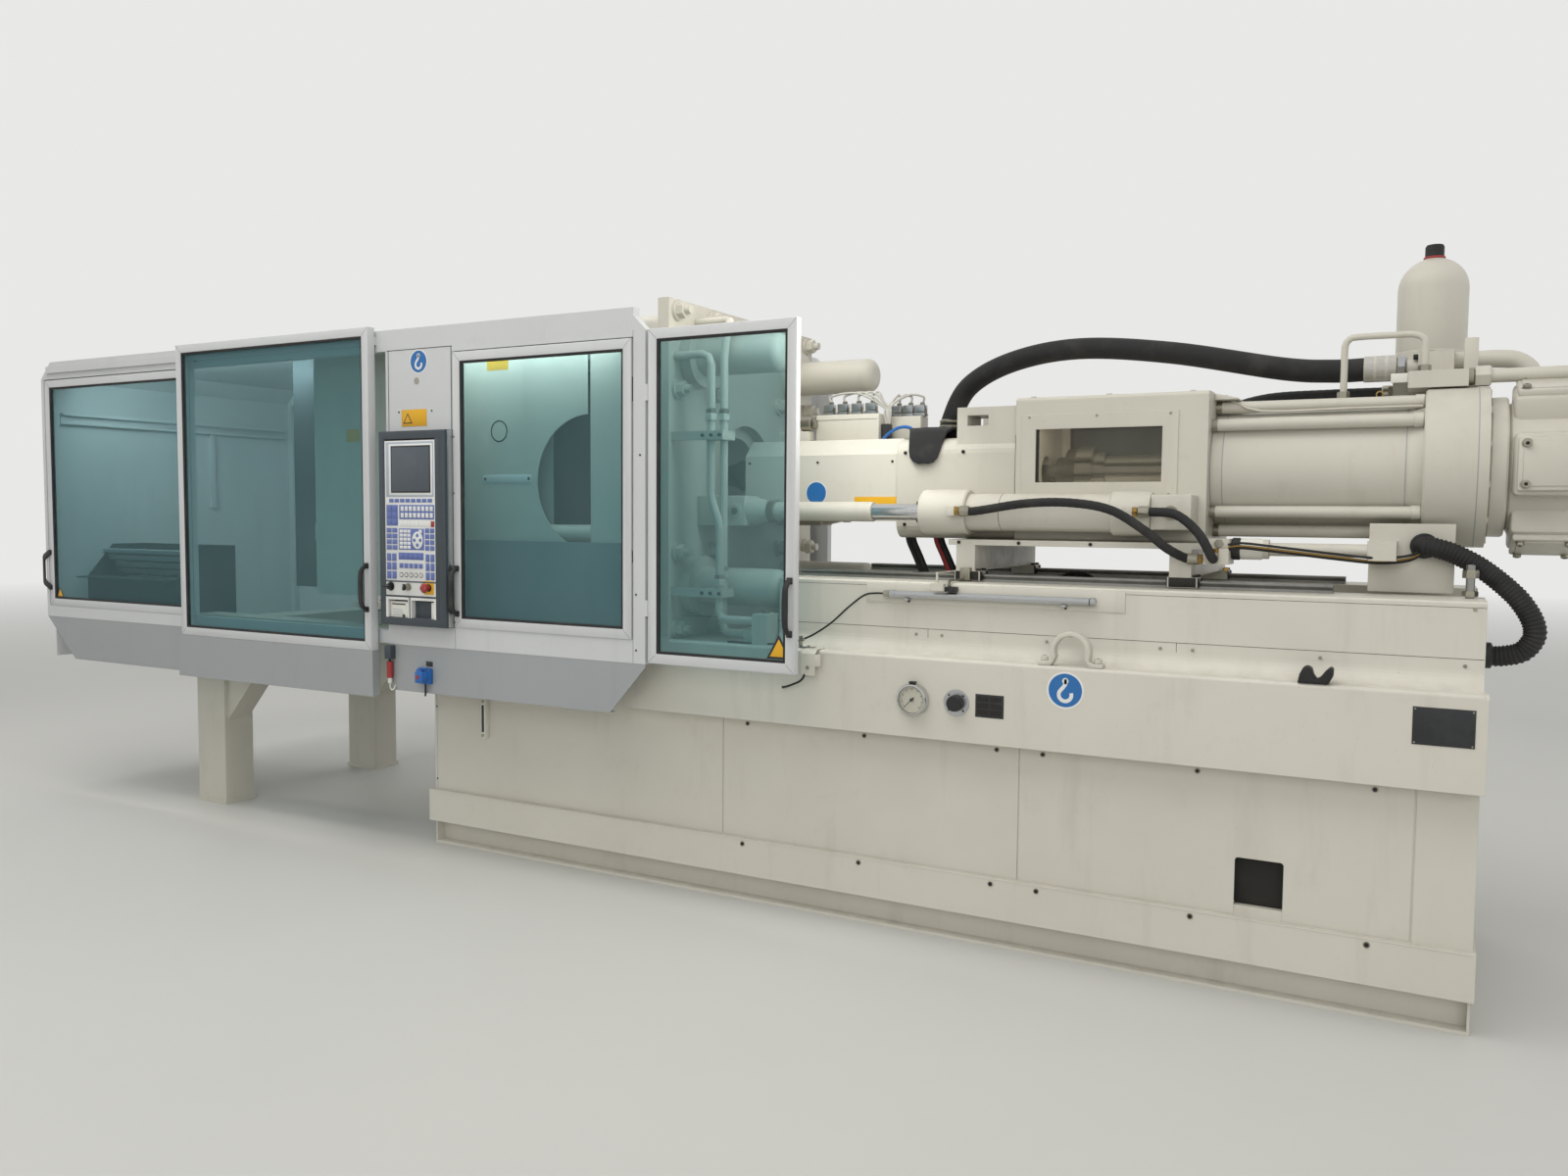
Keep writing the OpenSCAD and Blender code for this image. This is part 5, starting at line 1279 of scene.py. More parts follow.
def cabinet_screws():
    """Dark panel screws on both long sides and the end, small ones on the left panel and the bed's walls."""
    d = sizes().panel_screw / MM
    places = [-860, -300, 200] + list(PANEL_SCREWS)
    screws("front_panel_screws", [(x, BASE_FRONT - 1, 687) for x in PANEL_SCREWS], "-y", d, 2.6, "frame")
    screws("skirting_screws", [(x - 6, SKIRTING_FRONT - 1, 226) for x in PANEL_SCREWS], "-y", d, 2.6, "frame")
    screws("rear_panel_screws", [(x, -BASE_FRONT, z) for x in places for z in (687, 270)], "+y", d, 2.6,
           "frame")
    small = sizes().small_screw / MM
    screws("panel_edge_screws", [(-908, BASE_FRONT, z) for z in (291, 617)], "-y", small, 1.8, "frame")
    screws("bed_wall_screws", [(x, BED_FRONT, z) for x, z in WALL_SCREWS], "-y", small + 3, 2.2, "frame",
           "zinc_fitting", "steel_bright")
    screws("bed_wall_screws_rear", [(x, -BED_FRONT, 1190) for x in (1010, 1700, 2400, 3040)],
           "+y", small + 2, 2.0, "frame")
    screws("end_screws", [(3110, y, z) for y in (-440, 0, 440) for z in (680, 300)], "+x", d, 2.6, "frame")


def cabinet_details():
    """Sight glass, cup washers, painted shade in the cut-out, seams and hem of the cabinet."""
    shape = Shape()
    # level sight glass on the left panel, held by two screws
    shape.box(-625, -600, -557, -530, 505, 677, "white_plastic", 2)
    shape.box(-619, -606, -558, -556, 532, 650, "black_plastic", 0.6)
    for z in (517, 665):
        shape.rod("y", (-612.5, z), 15, -562, -556, "zinc_fitting", 16, 1)
    # cup washers under the panel screws
    for x in PANEL_SCREWS:
        shape.rod("y", (x, 687), 20, BASE_FRONT - 1, BASE_FRONT + 0.2, "zinc_fitting", 24, 0.4)
        shape.rod("y", (x - 6, 226), 20, SKIRTING_FRONT - 1, SKIRTING_FRONT + 0.2, "zinc_fitting", 24, 0.4)
    # painted shade inside the cable cut-out: a dark plate at its back
    shape.box(2440, 2625, -500, -498, 236, 440, "dark_cavity", 0)
    # seam lines along the bed wall
    shape.box(390, 3108, -500.4, -499, 1084, 1085.4, "dark_cavity", 0)
    for x in (1418, 2263):
        shape.box(x - 0.7, x + 0.7, -500.4, -499, 1054, 1084, "dark_cavity", 0)
    shape.box(830, 3108, -500.4, -499, 1232, 1233.2, "dark_cavity", 0)
    # folded hem along the skirting
    shape.box(-918, 3108, -556, -553.5, 241, 246.5, "cream_sheet", 1)
    shape.done("cabinet_details", "frame", "cabinet_paint")


def gauge():
    """Pressure gauge: rolled bezel, printed dial with plain marks, pointer and glass."""
    x, z, y = 1413, 850, HOOD_FRONT
    shape = Shape()
    shape.turned("y", (x, z), [(0, y), (50, y), (55, y - 4), (55, y - 28), (52, y - 33), (48.5, y - 34),
                               (47, y - 31), (47, y - 21), (0, y - 21)], "hard_chrome", 56)
    shape.rod("y", (x, z), 93, y - 23, y - 20.8, "dial_paper", 56, 0.2)
    for k in range(41):
        a = math.radians(225 - k * 6.75)
        long = k % 5 == 0
        r0, r1, t = (33.0 if long else 37.0), 42.0, (0.9 if long else 0.4)
        u, w = Vector((math.cos(a), math.sin(a))), Vector((-math.sin(a), math.cos(a)))
        shape.prism("y", [(x + (u * r + w * s).x, z + (u * r + w * s).y) for r, s in
                          ((r0, -t), (r1, -t), (r1, t), (r0, t))], y - 23.4, y - 22.9, "black_plastic", 0)
    shape.rod("y", (x, z), 11, y - 30, y - 22, "black_plastic", 20, 1)
    shape.box(x - 12, x + 12, y - 26, y - 8, z + 55, z + 63, "black_plastic", 2)
    shape.rod("y", (x, z), 94.6, y - 31.6, y - 30.6, "gauge_glass", 56, 0.2)
    shape.done("gauge_body", "frame", "black_plastic", ("pressure_gauge",))
    needle = Shape()
    a = math.radians(225)
    u, w = Vector((math.cos(a), math.sin(a))), Vector((-math.sin(a), math.cos(a)))
    y0 = y - 29
    needle.prism("y", [(x + (u * r + w * s).x, z + (u * r + w * s).y) for r, s in
                       ((-12, -2.2), (41, -0.4), (41, 0.4), (-12, 2.2))], y0 + 0.2, y0 + 1.4,
                       "black_plastic", 0.2)
    needle.rod("y", (x, z), 12, y0 - 0.9, y0 + 1.7, "black_plastic", 20, 0.5)
    needle.done("gauge_pointer", "needle", "black_plastic", ("gauge_needle",))


def valve_wheel():
    """Round turning knob of the gauge valve: skirt and fluted grip, on a flange with four screws."""
    x, z, y = 1567, 849, HOOD_FRONT
    shape = Shape()
    shape.rod("y", (x, z), 54, y - 13, y - 0.3, "black_plastic", 48, 2)
    rings = []
    for r, t in ((26.5, y - 12), (27.5, y - 14), (26.5, y - 31), (24, y - 35)):
        rings.append([Vector((x + (r + (0.9 if k % 2 else -0.5)) * math.cos(math.tau * k / 48), t,
                              z + (r + (0.9 if k % 2 else -0.5)) * math.sin(math.tau * k / 48)))
                              for k in range(48)])
    shape.loft(rings, "black_plastic")
    shape.rod("y", (x, z), 34, y - 36.2, y - 34.5, "black_plastic", 32, 0.6)
    shape.done("valve_wheel", "knob", "black_plastic", ("valve_knob",))
    rim = Shape()
    rim.ring("y", (x, z), 45, 27.6, y - 6, y, "drawn_aluminium", 48)
    for a in (45, 135, 225, 315):
        c, t = math.cos(math.radians(a)), math.sin(math.radians(a))
        rim.rod("y", (x + 36 * c, z + 36 * t), 7, y - 8, y - 6, "black_oxide", 12, 0.6)
    rim.done("valve_rim", "frame", "steel_bright")


def hood_hardware():
    """Hook bow, rubber rest, bracket and adjusting screw on the hood and the bed's end."""
    y, z = -579, 997
    shape = Shape()
    arc = [(math.cos(math.radians(a)), math.sin(math.radians(a))) for a in range(200, -21, -10)]
    bow = [(1842, z), (1842, z + 14), (1874, z + 14), (1884, z + 19)] + [(1948 + 66 * c,
            z + 48 + 66 * t) for c, t in arc]
    bow += [(2012, z + 19), (2022, z + 14), (2054, z + 14), (2054, z), (2012, z), (2002, z + 12)]
    bow += [(1948 + 50 * c, z + 48 + 50 * t) for c, t in reversed(arc)] + [(1894, z + 12), (1884, z)]
    shape.prism("y", bow, y - 20, y + 20, "cream_enamel", 2.5)
    for x in (1860, 2036):
        shape.rod("z", (x, y), 26, z + 14, z + 30, "cream_enamel", 24, 2)
        # dark disc at the top of each boss: painted shade of its hole
        shape.rod("z", (x, y), 13, z + 30, z + 30.4, "dark_cavity", 6, 0)
    # rubber rest with two curved horns
    shape.prism("y", [(2629, z), (2634, z + 26), (2643, z + 46), (2655, z + 50), (2666, z + 44),
                      (2671, z + 26),
                      (2680, z + 12), (2690, z + 18), (2702, z + 36), (2716, z + 50), (2725, z + 46),
                      (2724, z + 22), (2712, z)], y - 28, y + 28, "black_rubber", 4)
    # angle of the door switch
    shape.box(950, 1010, y - 12, y + 12, z, z + 5, "ground_steel", 1)
    shape.box(950, 955, y - 12, y + 12, z + 5, z + 44, "ground_steel", 1)
    shape.rod("x", (y, z + 30), 10, 955, 968, "zinc_fitting", 16, 1)
    shape.rod("z", (985, y), 10, z + 5, z + 11, "zinc_fitting", 16, 1)
    # adjusting screw at the end of the bed
    shape.rod("z", (3070, -330), 24, 1250, 1350, "ground_steel", 28, 2)
    shape.nut("z", (3070, -330), 38, 1310, 1335, "zinc_fitting")
    shape.nut("z", (3070, -330), 38, 1256, 1272, "zinc_fitting")
    shape.done("hood_hardware", "frame", "machine_paint", ("hood_fittings",))
    switch = Shape()
    switch.prism("x", [(-560, 997.3), (-560, 1000.3), (-622, 1000.3), (-642, 986), (-642, 908), (-639, 904),
                       (-639, 985), (-621, 997.3)], 985, 1043, "cream_enamel", 0.5)
    switch.prism("z", [(1043, -639), (1043, -642), (1060, -630), (1060, -627)], 940, 984, "cream_enamel", 0.3)
    switch.rod("y", (1014, 935), 14, -646, -642, "zinc_fitting", 16, 1)
    switch.done("door_switch_bracket", "frame", "machine_paint")
    hose("door_switch_lead", [(1002, -638, 912), (990, -646, 888), (950, -646, 868), (914, -634, 856),
                              (893, -606, 851)],
         8, "frame", step=6.0)


def socket():
    """Blue socket with its hinged lid and the lead below it."""
    shape = Shape()
    shape.box(-748, -678, -804, -779, 765, 830, "blue_plastic", 4)
    shape.box(-744, -712, -812, -804, 771, 824, "blue_plastic", 3)
    shape.rod("y", (-700, 795), 44, -834, -804, "blue_plastic", 36, 3)
    shape.box(-722, -680, -840, -833, 774, 820, "blue_plastic", 3)
    shape.box(-716, -700, -841, -839.4, 790, 806, "red_plastic", 0.5)
    shape.box(-728, -684, -812, -800, 828, 835, "blue_plastic", 2)
    shape.box(-716, -680, -782, -779, 838, 858, "black_plastic", 1)
    shape.tube([(-712, -790, 766), (-712, -790, 745), (-716, -786, 722), (-722, -782, 712)], 8,
               "black_rubber", 10, 4)
    shape.done("socket", "frame", "blue_plastic", ("socket_box",))


def transducer_rail():
    """Position transducer: aluminium section on its plate, end caps, magnet, plug and lead."""
    shape = Shape()
    shape.box(1180, 2100, -504, -500, 1172, 1242, "cream_sheet", 1.2)
    shape.loft([[Vector((x, -522 + a, 1205 + b)) for a, b in
                 [(14 * math.cos(math.tau * k / 24) * (0.86 if k in (5, 6, 7) else 1.0),
                   14 * math.sin(math.tau * k / 24) * (0.86 if k in (5, 6, 7) else 1.0)) for k in range(24)]]
                for x in (1302, 1990)], "drawn_aluminium")
    shape.rod("x", (-522, 1205), 28, 1279, 1302, "drawn_aluminium", 24, 2)
    shape.rod("x", (-522, 1205), 27, 1990, 2011, "drawn_aluminium", 24, 4)
    shape.nut("x", (-522, 1205), 24, 1258, 1279, "zinc_fitting")
    for x in (1340, 1900):
        shape.box(x, x + 14, -537, -504, 1184, 1193, "drawn_aluminium", 1)
        shape.rod("y", (x + 7, 1180), 8, -512, -504, "black_oxide", 14, 1)
    shape.done("transducer_rail", "frame", "bare_aluminium", ("transducer",))
    magnet = Shape()
    magnet.box(1493, 1530, -543, -505, 1221, 1238, "black_plastic", 2)
    magnet.box(1499, 1505, -530, -512, 1238, 1262, "zinc_fitting", 0.6)
    magnet.box(1499, 1505, -512, -376, 1256, 1262, "zinc_fitting", 0.6)
    magnet.box(1493, 1530, -392, -370, 1256, 1300, "zinc_fitting", 1)
    magnet.done("transducer_magnet", "carriage", "black_plastic")
    hose("transducer_lead", [(1258, -522, 1205), (1225, -522, 1205), (1180, -524, 1196), (1120, -530, 1150),
                             (1050, -545, 1085), (960, -560, 1030), (860, -572, 1006), (760, -578, 1002),
                             (640, -580, 1001.5)], 7, "frame", step=10.0)


# Injection unit

def bolt_circle(label, facing, x, centre, radius, angles, d, height, body, finish_name="cream_enamel",
                slot="machine_paint", sides=6):
    """Bolt heads set out on a circle in a plane across the machine."""
    points = [(x, centre[0] + radius * math.cos(math.radians(a)),
               centre[1] + radius * math.sin(math.radians(a)))
              for a in angles]
    screws(label, points, facing, d, height, body, finish_name, slot, sides)


def housing_details():
    """Coupling window with its gasket, the cover behind painted dark as shade, frames, screws, clamps and signs."""
    x0, x1, z0, z1 = 1715, 2170, 1574, 1833
    for side in (-1, 1):
        y = side * 240
        # the rear window is a dark sheet: painted shade behind the coupling
        sheet = "smoked_pane" if side < 0 else "dark_sheet"
        panes = Shape()
        a, b = sorted((y - side * 5, y - side * 8))
        panes.box(x0 + 1.5, x1 - 1.5, a, b, z0 + 1.5, z1 - 1.5, sheet, 0)
        ring = [(0.6, y - side * 1.5), (0.6, y - side * 12), (9, y - side * 12), (9, y - side * 8.4),
                (6, y - side * 4.0), (2.5, y - side * 1.2)]
        panes.frame_ring(x0, x1, z0, z1, ring, "black_rubber")
        panes.done("housing_window_front" if side < 0 else "housing_window_rear", "carriage", "window_pane")
    fixed = Shape()
    # joint line of the throat's casting
    fixed.box(1639.5, 1641, -240.3, -239, 1402, 1776, "dark_cavity", 0)
    # slide plate: lock handle, clamps and the rubber seal of the throat pocket
    fixed.box(1408, 1440, -96, 96, 1775, 1790, "black_oxide", 2)
    fixed.box(1446, 1520, -64, 64, 1797, 1803, "black_rubber", 1.5)
    fixed.rod("z", (1300, -86), 18, 1797, 1809, "black_oxide", 20, 1.5)
    fixed.rod("z", (1376, -86), 18, 1797, 1809, "black_oxide", 20, 1.5)
    # lubrication points and plugs on the front face
    for x, z in ((1600, 1470), (1560, 1560)):
        fixed.rod("y", (x, z), 12, -236, -229, "zinc_fitting", 16, 1)
    fixed.done("housing_fittings", "carriage", "machine_paint")
    for side in (-1, 1):
        a, b = sorted((side * 240, side * 243.4))
        plate = Shape()
        plate.frame_ring(1661, 2205, 1552, 1846, [
            (0, side * 240), (0.4, side * 243), (1.0, side * 243.4), (46, side * 243.4), (53, side * 242),
            (53, side * 240)], "cream_enamel")
        for x in (1690, 1930, 2178):
            for z in (1836, 1562):
                plate.rod("y", (x, z), 9, min(side * 243, side * 245.6), max(side * 243, side * 245.6),
                          "zinc_fitting", 14, 1)
        plate.done("window_plate_front" if side < 0 else "window_plate_rear", "carriage", "machine_paint")
    signs = Shape()
    signs.box(992, 1171, -215.9, -215, 1470, 1555, "yellow_foil", 0.2)
    signs.rod("y", (825, 1570), 92, -215.8, -215, "foil_white", 48, 0.2)
    signs.rod("y", (825, 1570), 86, -216.2, -215.7, "blue_foil", 48, 0.2)
    signs.done("cover_signs", "carriage", "cabinet_paint")
    screws("housing_top_screws", [(x, y, 1908) for x in (1690, 1960, 2240) for y in (-195, 195)], "+z", 20, 6,
           "carriage", "cream_enamel", "machine_paint")
    screws("throat_screws", [(x, -230, z) for x, z in ((1210, 1720), (1210, 1450), (1440, 1720))], "-y", 13,
           5, "carriage")
    screws("cover_screws", [(x, -215, z) for x in (520, 830, 1150) for z in (1500, 1690)], "-y", 10, 2.4,
           "carriage")


def feed_plate():
    """Blackened slide plate with guide bars, and the ragged rubber sheet that hangs over its front edge."""
    shape = Shape()
    hole = [(1340 + 45 * math.cos(math.tau * k / 32), 45 * math.sin(math.tau * k / 32)) for k in range(32)]
    outer = []
    for k in range(32):
        a = math.tau * k / 32
        s = 1 / max(abs(math.cos(a)), abs(math.sin(a)))
        outer.append((1340 + max(-125, min(62, 110 * s * math.cos(a))),
                      max(-110, min(110, 110 * s * math.sin(a)))))
    rows = [[Vector((u, v, z)) for u, v in ring]
            for ring, z in ((hole, 1775), (outer, 1775), (outer, 1797), (hole, 1797))]
    shape.loft(rows, "black_oxide", closed=True)
    for s in (-1, 1):
        shape.box(1215, 1402, s * 104 - 8, s * 104 + 8, 1790, 1806, "black_oxide", 1.5)
        for x in (1240, 1380):
            shape.rod("z", (x, s * 104), 9, 1806, 1811, "zinc_fitting", 14, 0.8)
    shape.prism("z", [(1180, -118), (1262, -150), (1352, -138), (1384, -112), (1384, -54), (1296, -52),
                      (1284, 30), (1190, 44)], 1809, 1821, "black_rubber", 3)
    # tongue: runs over the edge of the throat and hangs down in front, with a rounded end
    spine = [(-118, 1815, 1180, 1384), (-160, 1812, 1196, 1372), (-196, 1796, 1212, 1362),
             (-222, 1764, 1222, 1356),
             (-238, 1728, 1228, 1350), (-246, 1700, 1236, 1342), (-249, 1684, 1250, 1328),
             (-250, 1677, 1270, 1308)]
    rings = []
    for y, z, a, b in spine:
        n = Vector((0, -0.5, 0.86)) if y > -200 else Vector((0, -1, 0.12))
        mid, low = Vector(((a + b) / 2, y, z)), n * 5
        sag = Vector((0, -4, 2))
        rings.append([Vector((a, y, z)) - low, mid - low + sag, Vector((b, y, z)) - low,
                      Vector((b, y, z)) + low, mid + low + sag, Vector((a, y, z)) + low])
    shape.loft(rings, "black_rubber")
    shape.done("feed_plate", "carriage", "black_steel", ("feed_slide",))


def terminal_box():
    """Terminal box of the heater leads on the barrel cover: two rows of plugs, levers and ribbed leads."""
    shape = Shape()
    shape.box(752, 1030, -80, 80, 1781, 1888, "cream_enamel", 3)
    shape.box(756, 1026, -81.2, -79.8, 1866, 1867.2, "dark_cavity", 0)
    shape.box(600, 740, -120, -70, 1781, 1822, "cream_enamel", 3)
    shape.box(1040, 1172, 10, 90, 1781, 1880, "cream_enamel", 3)
    spots = [(790 + i * 62, -30, 1888) for i in range(4)] + [(1056 + i * 50, 50, 1880) for i in range(3)]
    for x, y, z in spots:
        shape.box(x - 24, x + 24, y - 20, y + 20, z, z + 13, "drawn_aluminium", 2)
        shape.box(x - 22, x + 22, y - 18, y + 18, z + 15, z + 46, "drawn_aluminium", 4)
        shape.box(x - 25, x - 22.4, y - 8, y + 8, z + 3, z + 32, "zinc_fitting", 0.8)
        shape.box(x + 22.4, x + 25, y - 8, y + 8, z + 3, z + 32, "zinc_fitting", 0.8)
        shape.nut("z", (x + 6, y), 19, z + 46, z + 56, "zinc_fitting")
    shape.rod("x", (-100, 1852), 58, 700, 748, "zinc_fitting", 28, 3)
    shape.rod("x", (-100, 1852), 34, 748, 764, "zinc_fitting", 24, 2)
    shape.box(1034, 1068, -66, -30, 1781, 1846, "black_plastic", 3)
    shape.done("terminal_box", "carriage", "machine_paint")
    for i, (x, y, z) in enumerate(spots):
        near = 1045 + (i % 3) * 7
        hose(f"heater_lead_{i + 1}", [
            (x + 6, y, z + 52), (x + 10, y - 2, z + 78), ((x + near) / 2 + 6, y - 16, z + 84),
            (near, -44, 1905), (near + 3, -48, 1850), (near, -48, 1815)], 9, "carriage",
            0.5, 4.0, 1.6, "pale_hose", "hose_rubber")
    for i, (x0, x1) in enumerate(((1040, 1200), (1048, 1204))):
        hose(f"water_hose_{i + 1}", [
            (x0, -64 - i * 14, 1783), (x0 + 34, -80 - i * 14, 1806), (x0 + 84, -96 - i * 14, 1826),
            (x0 + 130, -104 - i * 12, 1824), (x1, -106 - i * 12, 1800)], 12, "carriage",
            finish_name="blue_plastic", slot="hose_rubber")


def throat_hoses():
    """Flat cooling hoses that hang from the throat into the trough of the bed."""
    for i, (name, x, y) in enumerate((("black_rubber", 1172, -100), ("black_rubber", 1196, -112),
                                      ("red_hose", 1288, -100), ("black_rubber", 1312, -112))):
        hose(f"throat_hose_{i + 1}", [(x, y, 1408), (x + 6, y, 1380), (x + 30, y, 1330), (x + 60, y, 1262),
                                      (x + 84, y, 1200), (x + 96, y, 1150)], 23, "carriage", finish_name=name)
    hose("trough_hose", [(1700, 20, 1148), (1708, 20, 1196), (1750, 20, 1244), (1806, 20, 1260),
                         (1862, 20, 1244), (1904, 20, 1196), (1912, 20, 1148)], 38, "frame", 1.4, 10.5, 1.8)


def carriage_hydraulics():
    """Carriage cylinders: end caps with seams, bolts, ports and the fork with its pin."""
    for s, name in ((-1, "front"), (1, "rear")):
        y, z = s * CYLINDER_SIDE, 1497
        shape = Shape()
        x0, x1 = 1330, 2145
        shape.turned("x", (y, z), [(31, x0), (74, x0), (80, x0 + 4), (82, x0 + 10), (82, x0 + 172),
                                   (78, x0 + 178),
                                   (66, x0 + 178.5), (66, x1 - 131), (73, x1 - 130), (77, x1 - 126),
                                   (77, x1 - 20), (70, x1), (0, x1)], "cream_enamel", 56)
        shape.turned("x", (y, z), [(31, x0 - 0.5), (44, x0 - 6), (50, x0 - 4), (50, x0 + 1), (31, x0 + 1)],
                     "zinc_fitting", 40)
        shape.ring("x", (y, z), 66.6, 60, x0 + 300, x0 + 301.4, "dark_cavity", 56, 0.1)
        low, high = sorted((s * 240, s * 375))
        shape.box(x1, x1 + 130, low, high, 1442, 1559, "cream_enamel", 6)
        shape.rod("y", (x1 + 66, 1500), 46, low - 5 if s < 0 else high, low if s < 0 else high + 5,
                  "zinc_fitting", 32, 1.5)
        if s < 0:
            for x in (2070, 1455):
                shape.box(x, x + 32, -445, -386, 1483, 1519, "cream_enamel", 3)
        shape.done(f"carriage_cylinder_{name}", "carriage", "machine_paint",
                   ("carriage_cylinders",) if s < 0 else ())
        bolt_circle(f"carriage_cap_bolts_{name}", "-x", x0 - 0.5, (y, z), 63, range(30, 390, 60), 13, 7,
                    "carriage", "black_oxide", "black_steel", 14)
        rod_end = Shape()
        rod_end.box(380, 600, y - 60, y + 60, z - 60, z + 60, "cream_enamel", 6)
        rod_end.turned("x", (y, z), [(0, 600), (58, 600), (56, 612), (42, 676), (41, 680), (0, 680)],
                       "cream_enamel", 48)
        rod_end.rod("x", (y, z), 74, 680, 1127, "cream_enamel", 48, 2)
        rod_end.ring("x", (y, z), 45, 37.3, 682, 716, "zinc_fitting", 40, 3)
        rod_end.rod("x", (y, z), 60, 1127, 1670, "hard_chrome", 48, 2)
        face = y - 60 if s < 0 else y + 60
        a, b = (face - 4, face) if s < 0 else (face, face + 4)
        rod_end.rod("y", (555, z), 56, a, b, "cream_enamel", 36, 1)
        rod_end.rod("y", (555, z), 30, a - 3 if s < 0 else a, b if s < 0 else b + 3, "zinc_fitting", 28, 1)
        rod_end.done(f"carriage_rod_{name}", "frame", "chrome_rod", ("carriage_rods",) if s < 0 else ())


def cylinder_details():
    """Injection cylinder: seams, collars of the tie rods, low bolts on its end."""
    shape = Shape()
    for a in (40, 68, 112, 140, 220, 248, 292, 320):
        centre = (226 * math.cos(math.radians(a)), 1650 + 226 * math.sin(math.radians(a)))
        shape.ring("x", centre, 21, 15.8, 2300.2, 2322, "zinc_fitting", 28, 2)
        shape.ring("x", centre, 23, 15.8, 2902, 2932, "cream_enamel", 28, 3)
    shape.ring("x", SCREW_AXIS, 197.8, 190, 2301, 2303.5, "grey_apron", 72, 0.2)
    for x in (2338, 2884):
        shape.ring("x", SCREW_AXIS, 198.2, 190, x, x + 2.2, "grey_apron", 72, 0.2)
    shape.ring("x", SCREW_AXIS, 255.6, 250, 3078, 3080.5, "grey_apron", 80, 0.2)
    shape.done("cylinder_collars", "carriage", "machine_paint")
    bolt_circle("flange_bolts_end", "+x", 3110, SCREW_AXIS, 237, range(15, 375, 30), 24, 4, "carriage")


def radial_motor():
    """Radial piston motor: five cylinder covers with four bolts each, a front cover and its port plate."""
    shape = Shape()
    cz, x0 = 1650, 3160
    shape.turned("x", (0, cz), [(0, 3110.2), (214, 3110.2), (220, 3116), (220, 3154), (216, 3160), (0, 3160)],
                 "cream_enamel", 72)
    shape.turned("x", (0, cz), [(0, x0), (192, x0), (200, x0 + 8), (200, x0 + 190), (186, x0 + 206),
                                (120, x0 + 210),
                                (95, x0 + 212), (95, x0 + 262), (88, x0 + 270), (60, x0 + 272),
                                (60, x0 + 296),
                                (56, x0 + 300), (30, x0 + 300), (30, x0 + 280), (0, x0 + 280)],
                                "cream_enamel", 72)
    for i in range(5):
        turn = Matrix.Translation((0, 0, cz)) @ Matrix.Rotation(math.radians(180 + i * 72), 4, "X")
        before = set(shape.mesh.verts)
        shape.box(x0 + 12, x0 + 198, 120, 246, -95, 95, "cream_enamel", 16)
        shape.box(x0 + 20, x0 + 190, 243, 265, -80, 80, "cream_enamel", 9)
        shape.box(x0 + 34, x0 + 176, 264, 268.5, -66, 66, "cream_enamel", 3)
        for dx in (42, 168):
            for dz in (-60, 60):
                shape.rod("y", (x0 + dx, dz), 30, 265, 267.4, "zinc_fitting", 24, 0.5)
                shape.rod("y", (x0 + dx, dz), 23, 267.4, 278, "zinc_fitting", 20, 1.6)
                # dark disc in each bolt's socket: painted shade of the hole
                shape.rod("y", (x0 + dx, dz), 12, 277.9, 278.2, "dark_cavity", 6, 0)
        for v in set(shape.mesh.verts) - before:
            v.co = turn @ v.co
    # front cover with its bolts
    for k in range(6):
        a = math.radians(30 + k * 60)
        shape.rod("x", (77 * math.cos(a), cz + 77 * math.sin(a)), 18, x0 + 262, x0 + 276, "zinc_fitting",
                  18, 1.5)
    shape.done("radial_motor", "carriage", "machine_paint", ("screw_motor",))


def accumulator_bottle():
    """Bladder accumulator: forged shell, dark cap and ring at its neck, band and its port nut."""
    x, y = 2940, 400
    shape = Shape()
    shell = [(0, 1900), (56, 1900), (60, 1904), (60, 1938), (81, 1960), (104, 1980), (111, 2000), (111, 2290)]
    shell += [(111 * math.cos(math.radians(a)), 2290 + 110 * math.sin(math.radians(a))) for a in range(8,
            76, 8)]
    shell += [(31, 2398), (0, 2398)]
    shape.turned("z", (x, y), shell, "cream_enamel", 72)
    shape.turned("z", (x, y), [(0, 2396), (34, 2396), (35, 2401), (33, 2404), (0, 2404)], "red_plastic", 40)
    shape.turned("z", (x, y), [(0, 2403), (30, 2403), (30, 2438), (26, 2445), (0, 2445)], "black_rubber", 40)
    shape.ring("z", (x, y), 74, 59, 1902, 1926, "zinc_fitting", 40, 3)
    shape.ring("z", (x, y), 113, 109, 2040, 2070, "cream_enamel", 72, 1)
    shape.box(x - 12, x + 12, y - 128, y - 110, 2045, 2065, "zinc_fitting", 2)
    shape.done("accumulator_bottle", "carriage", "machine_paint", ("accumulator",))


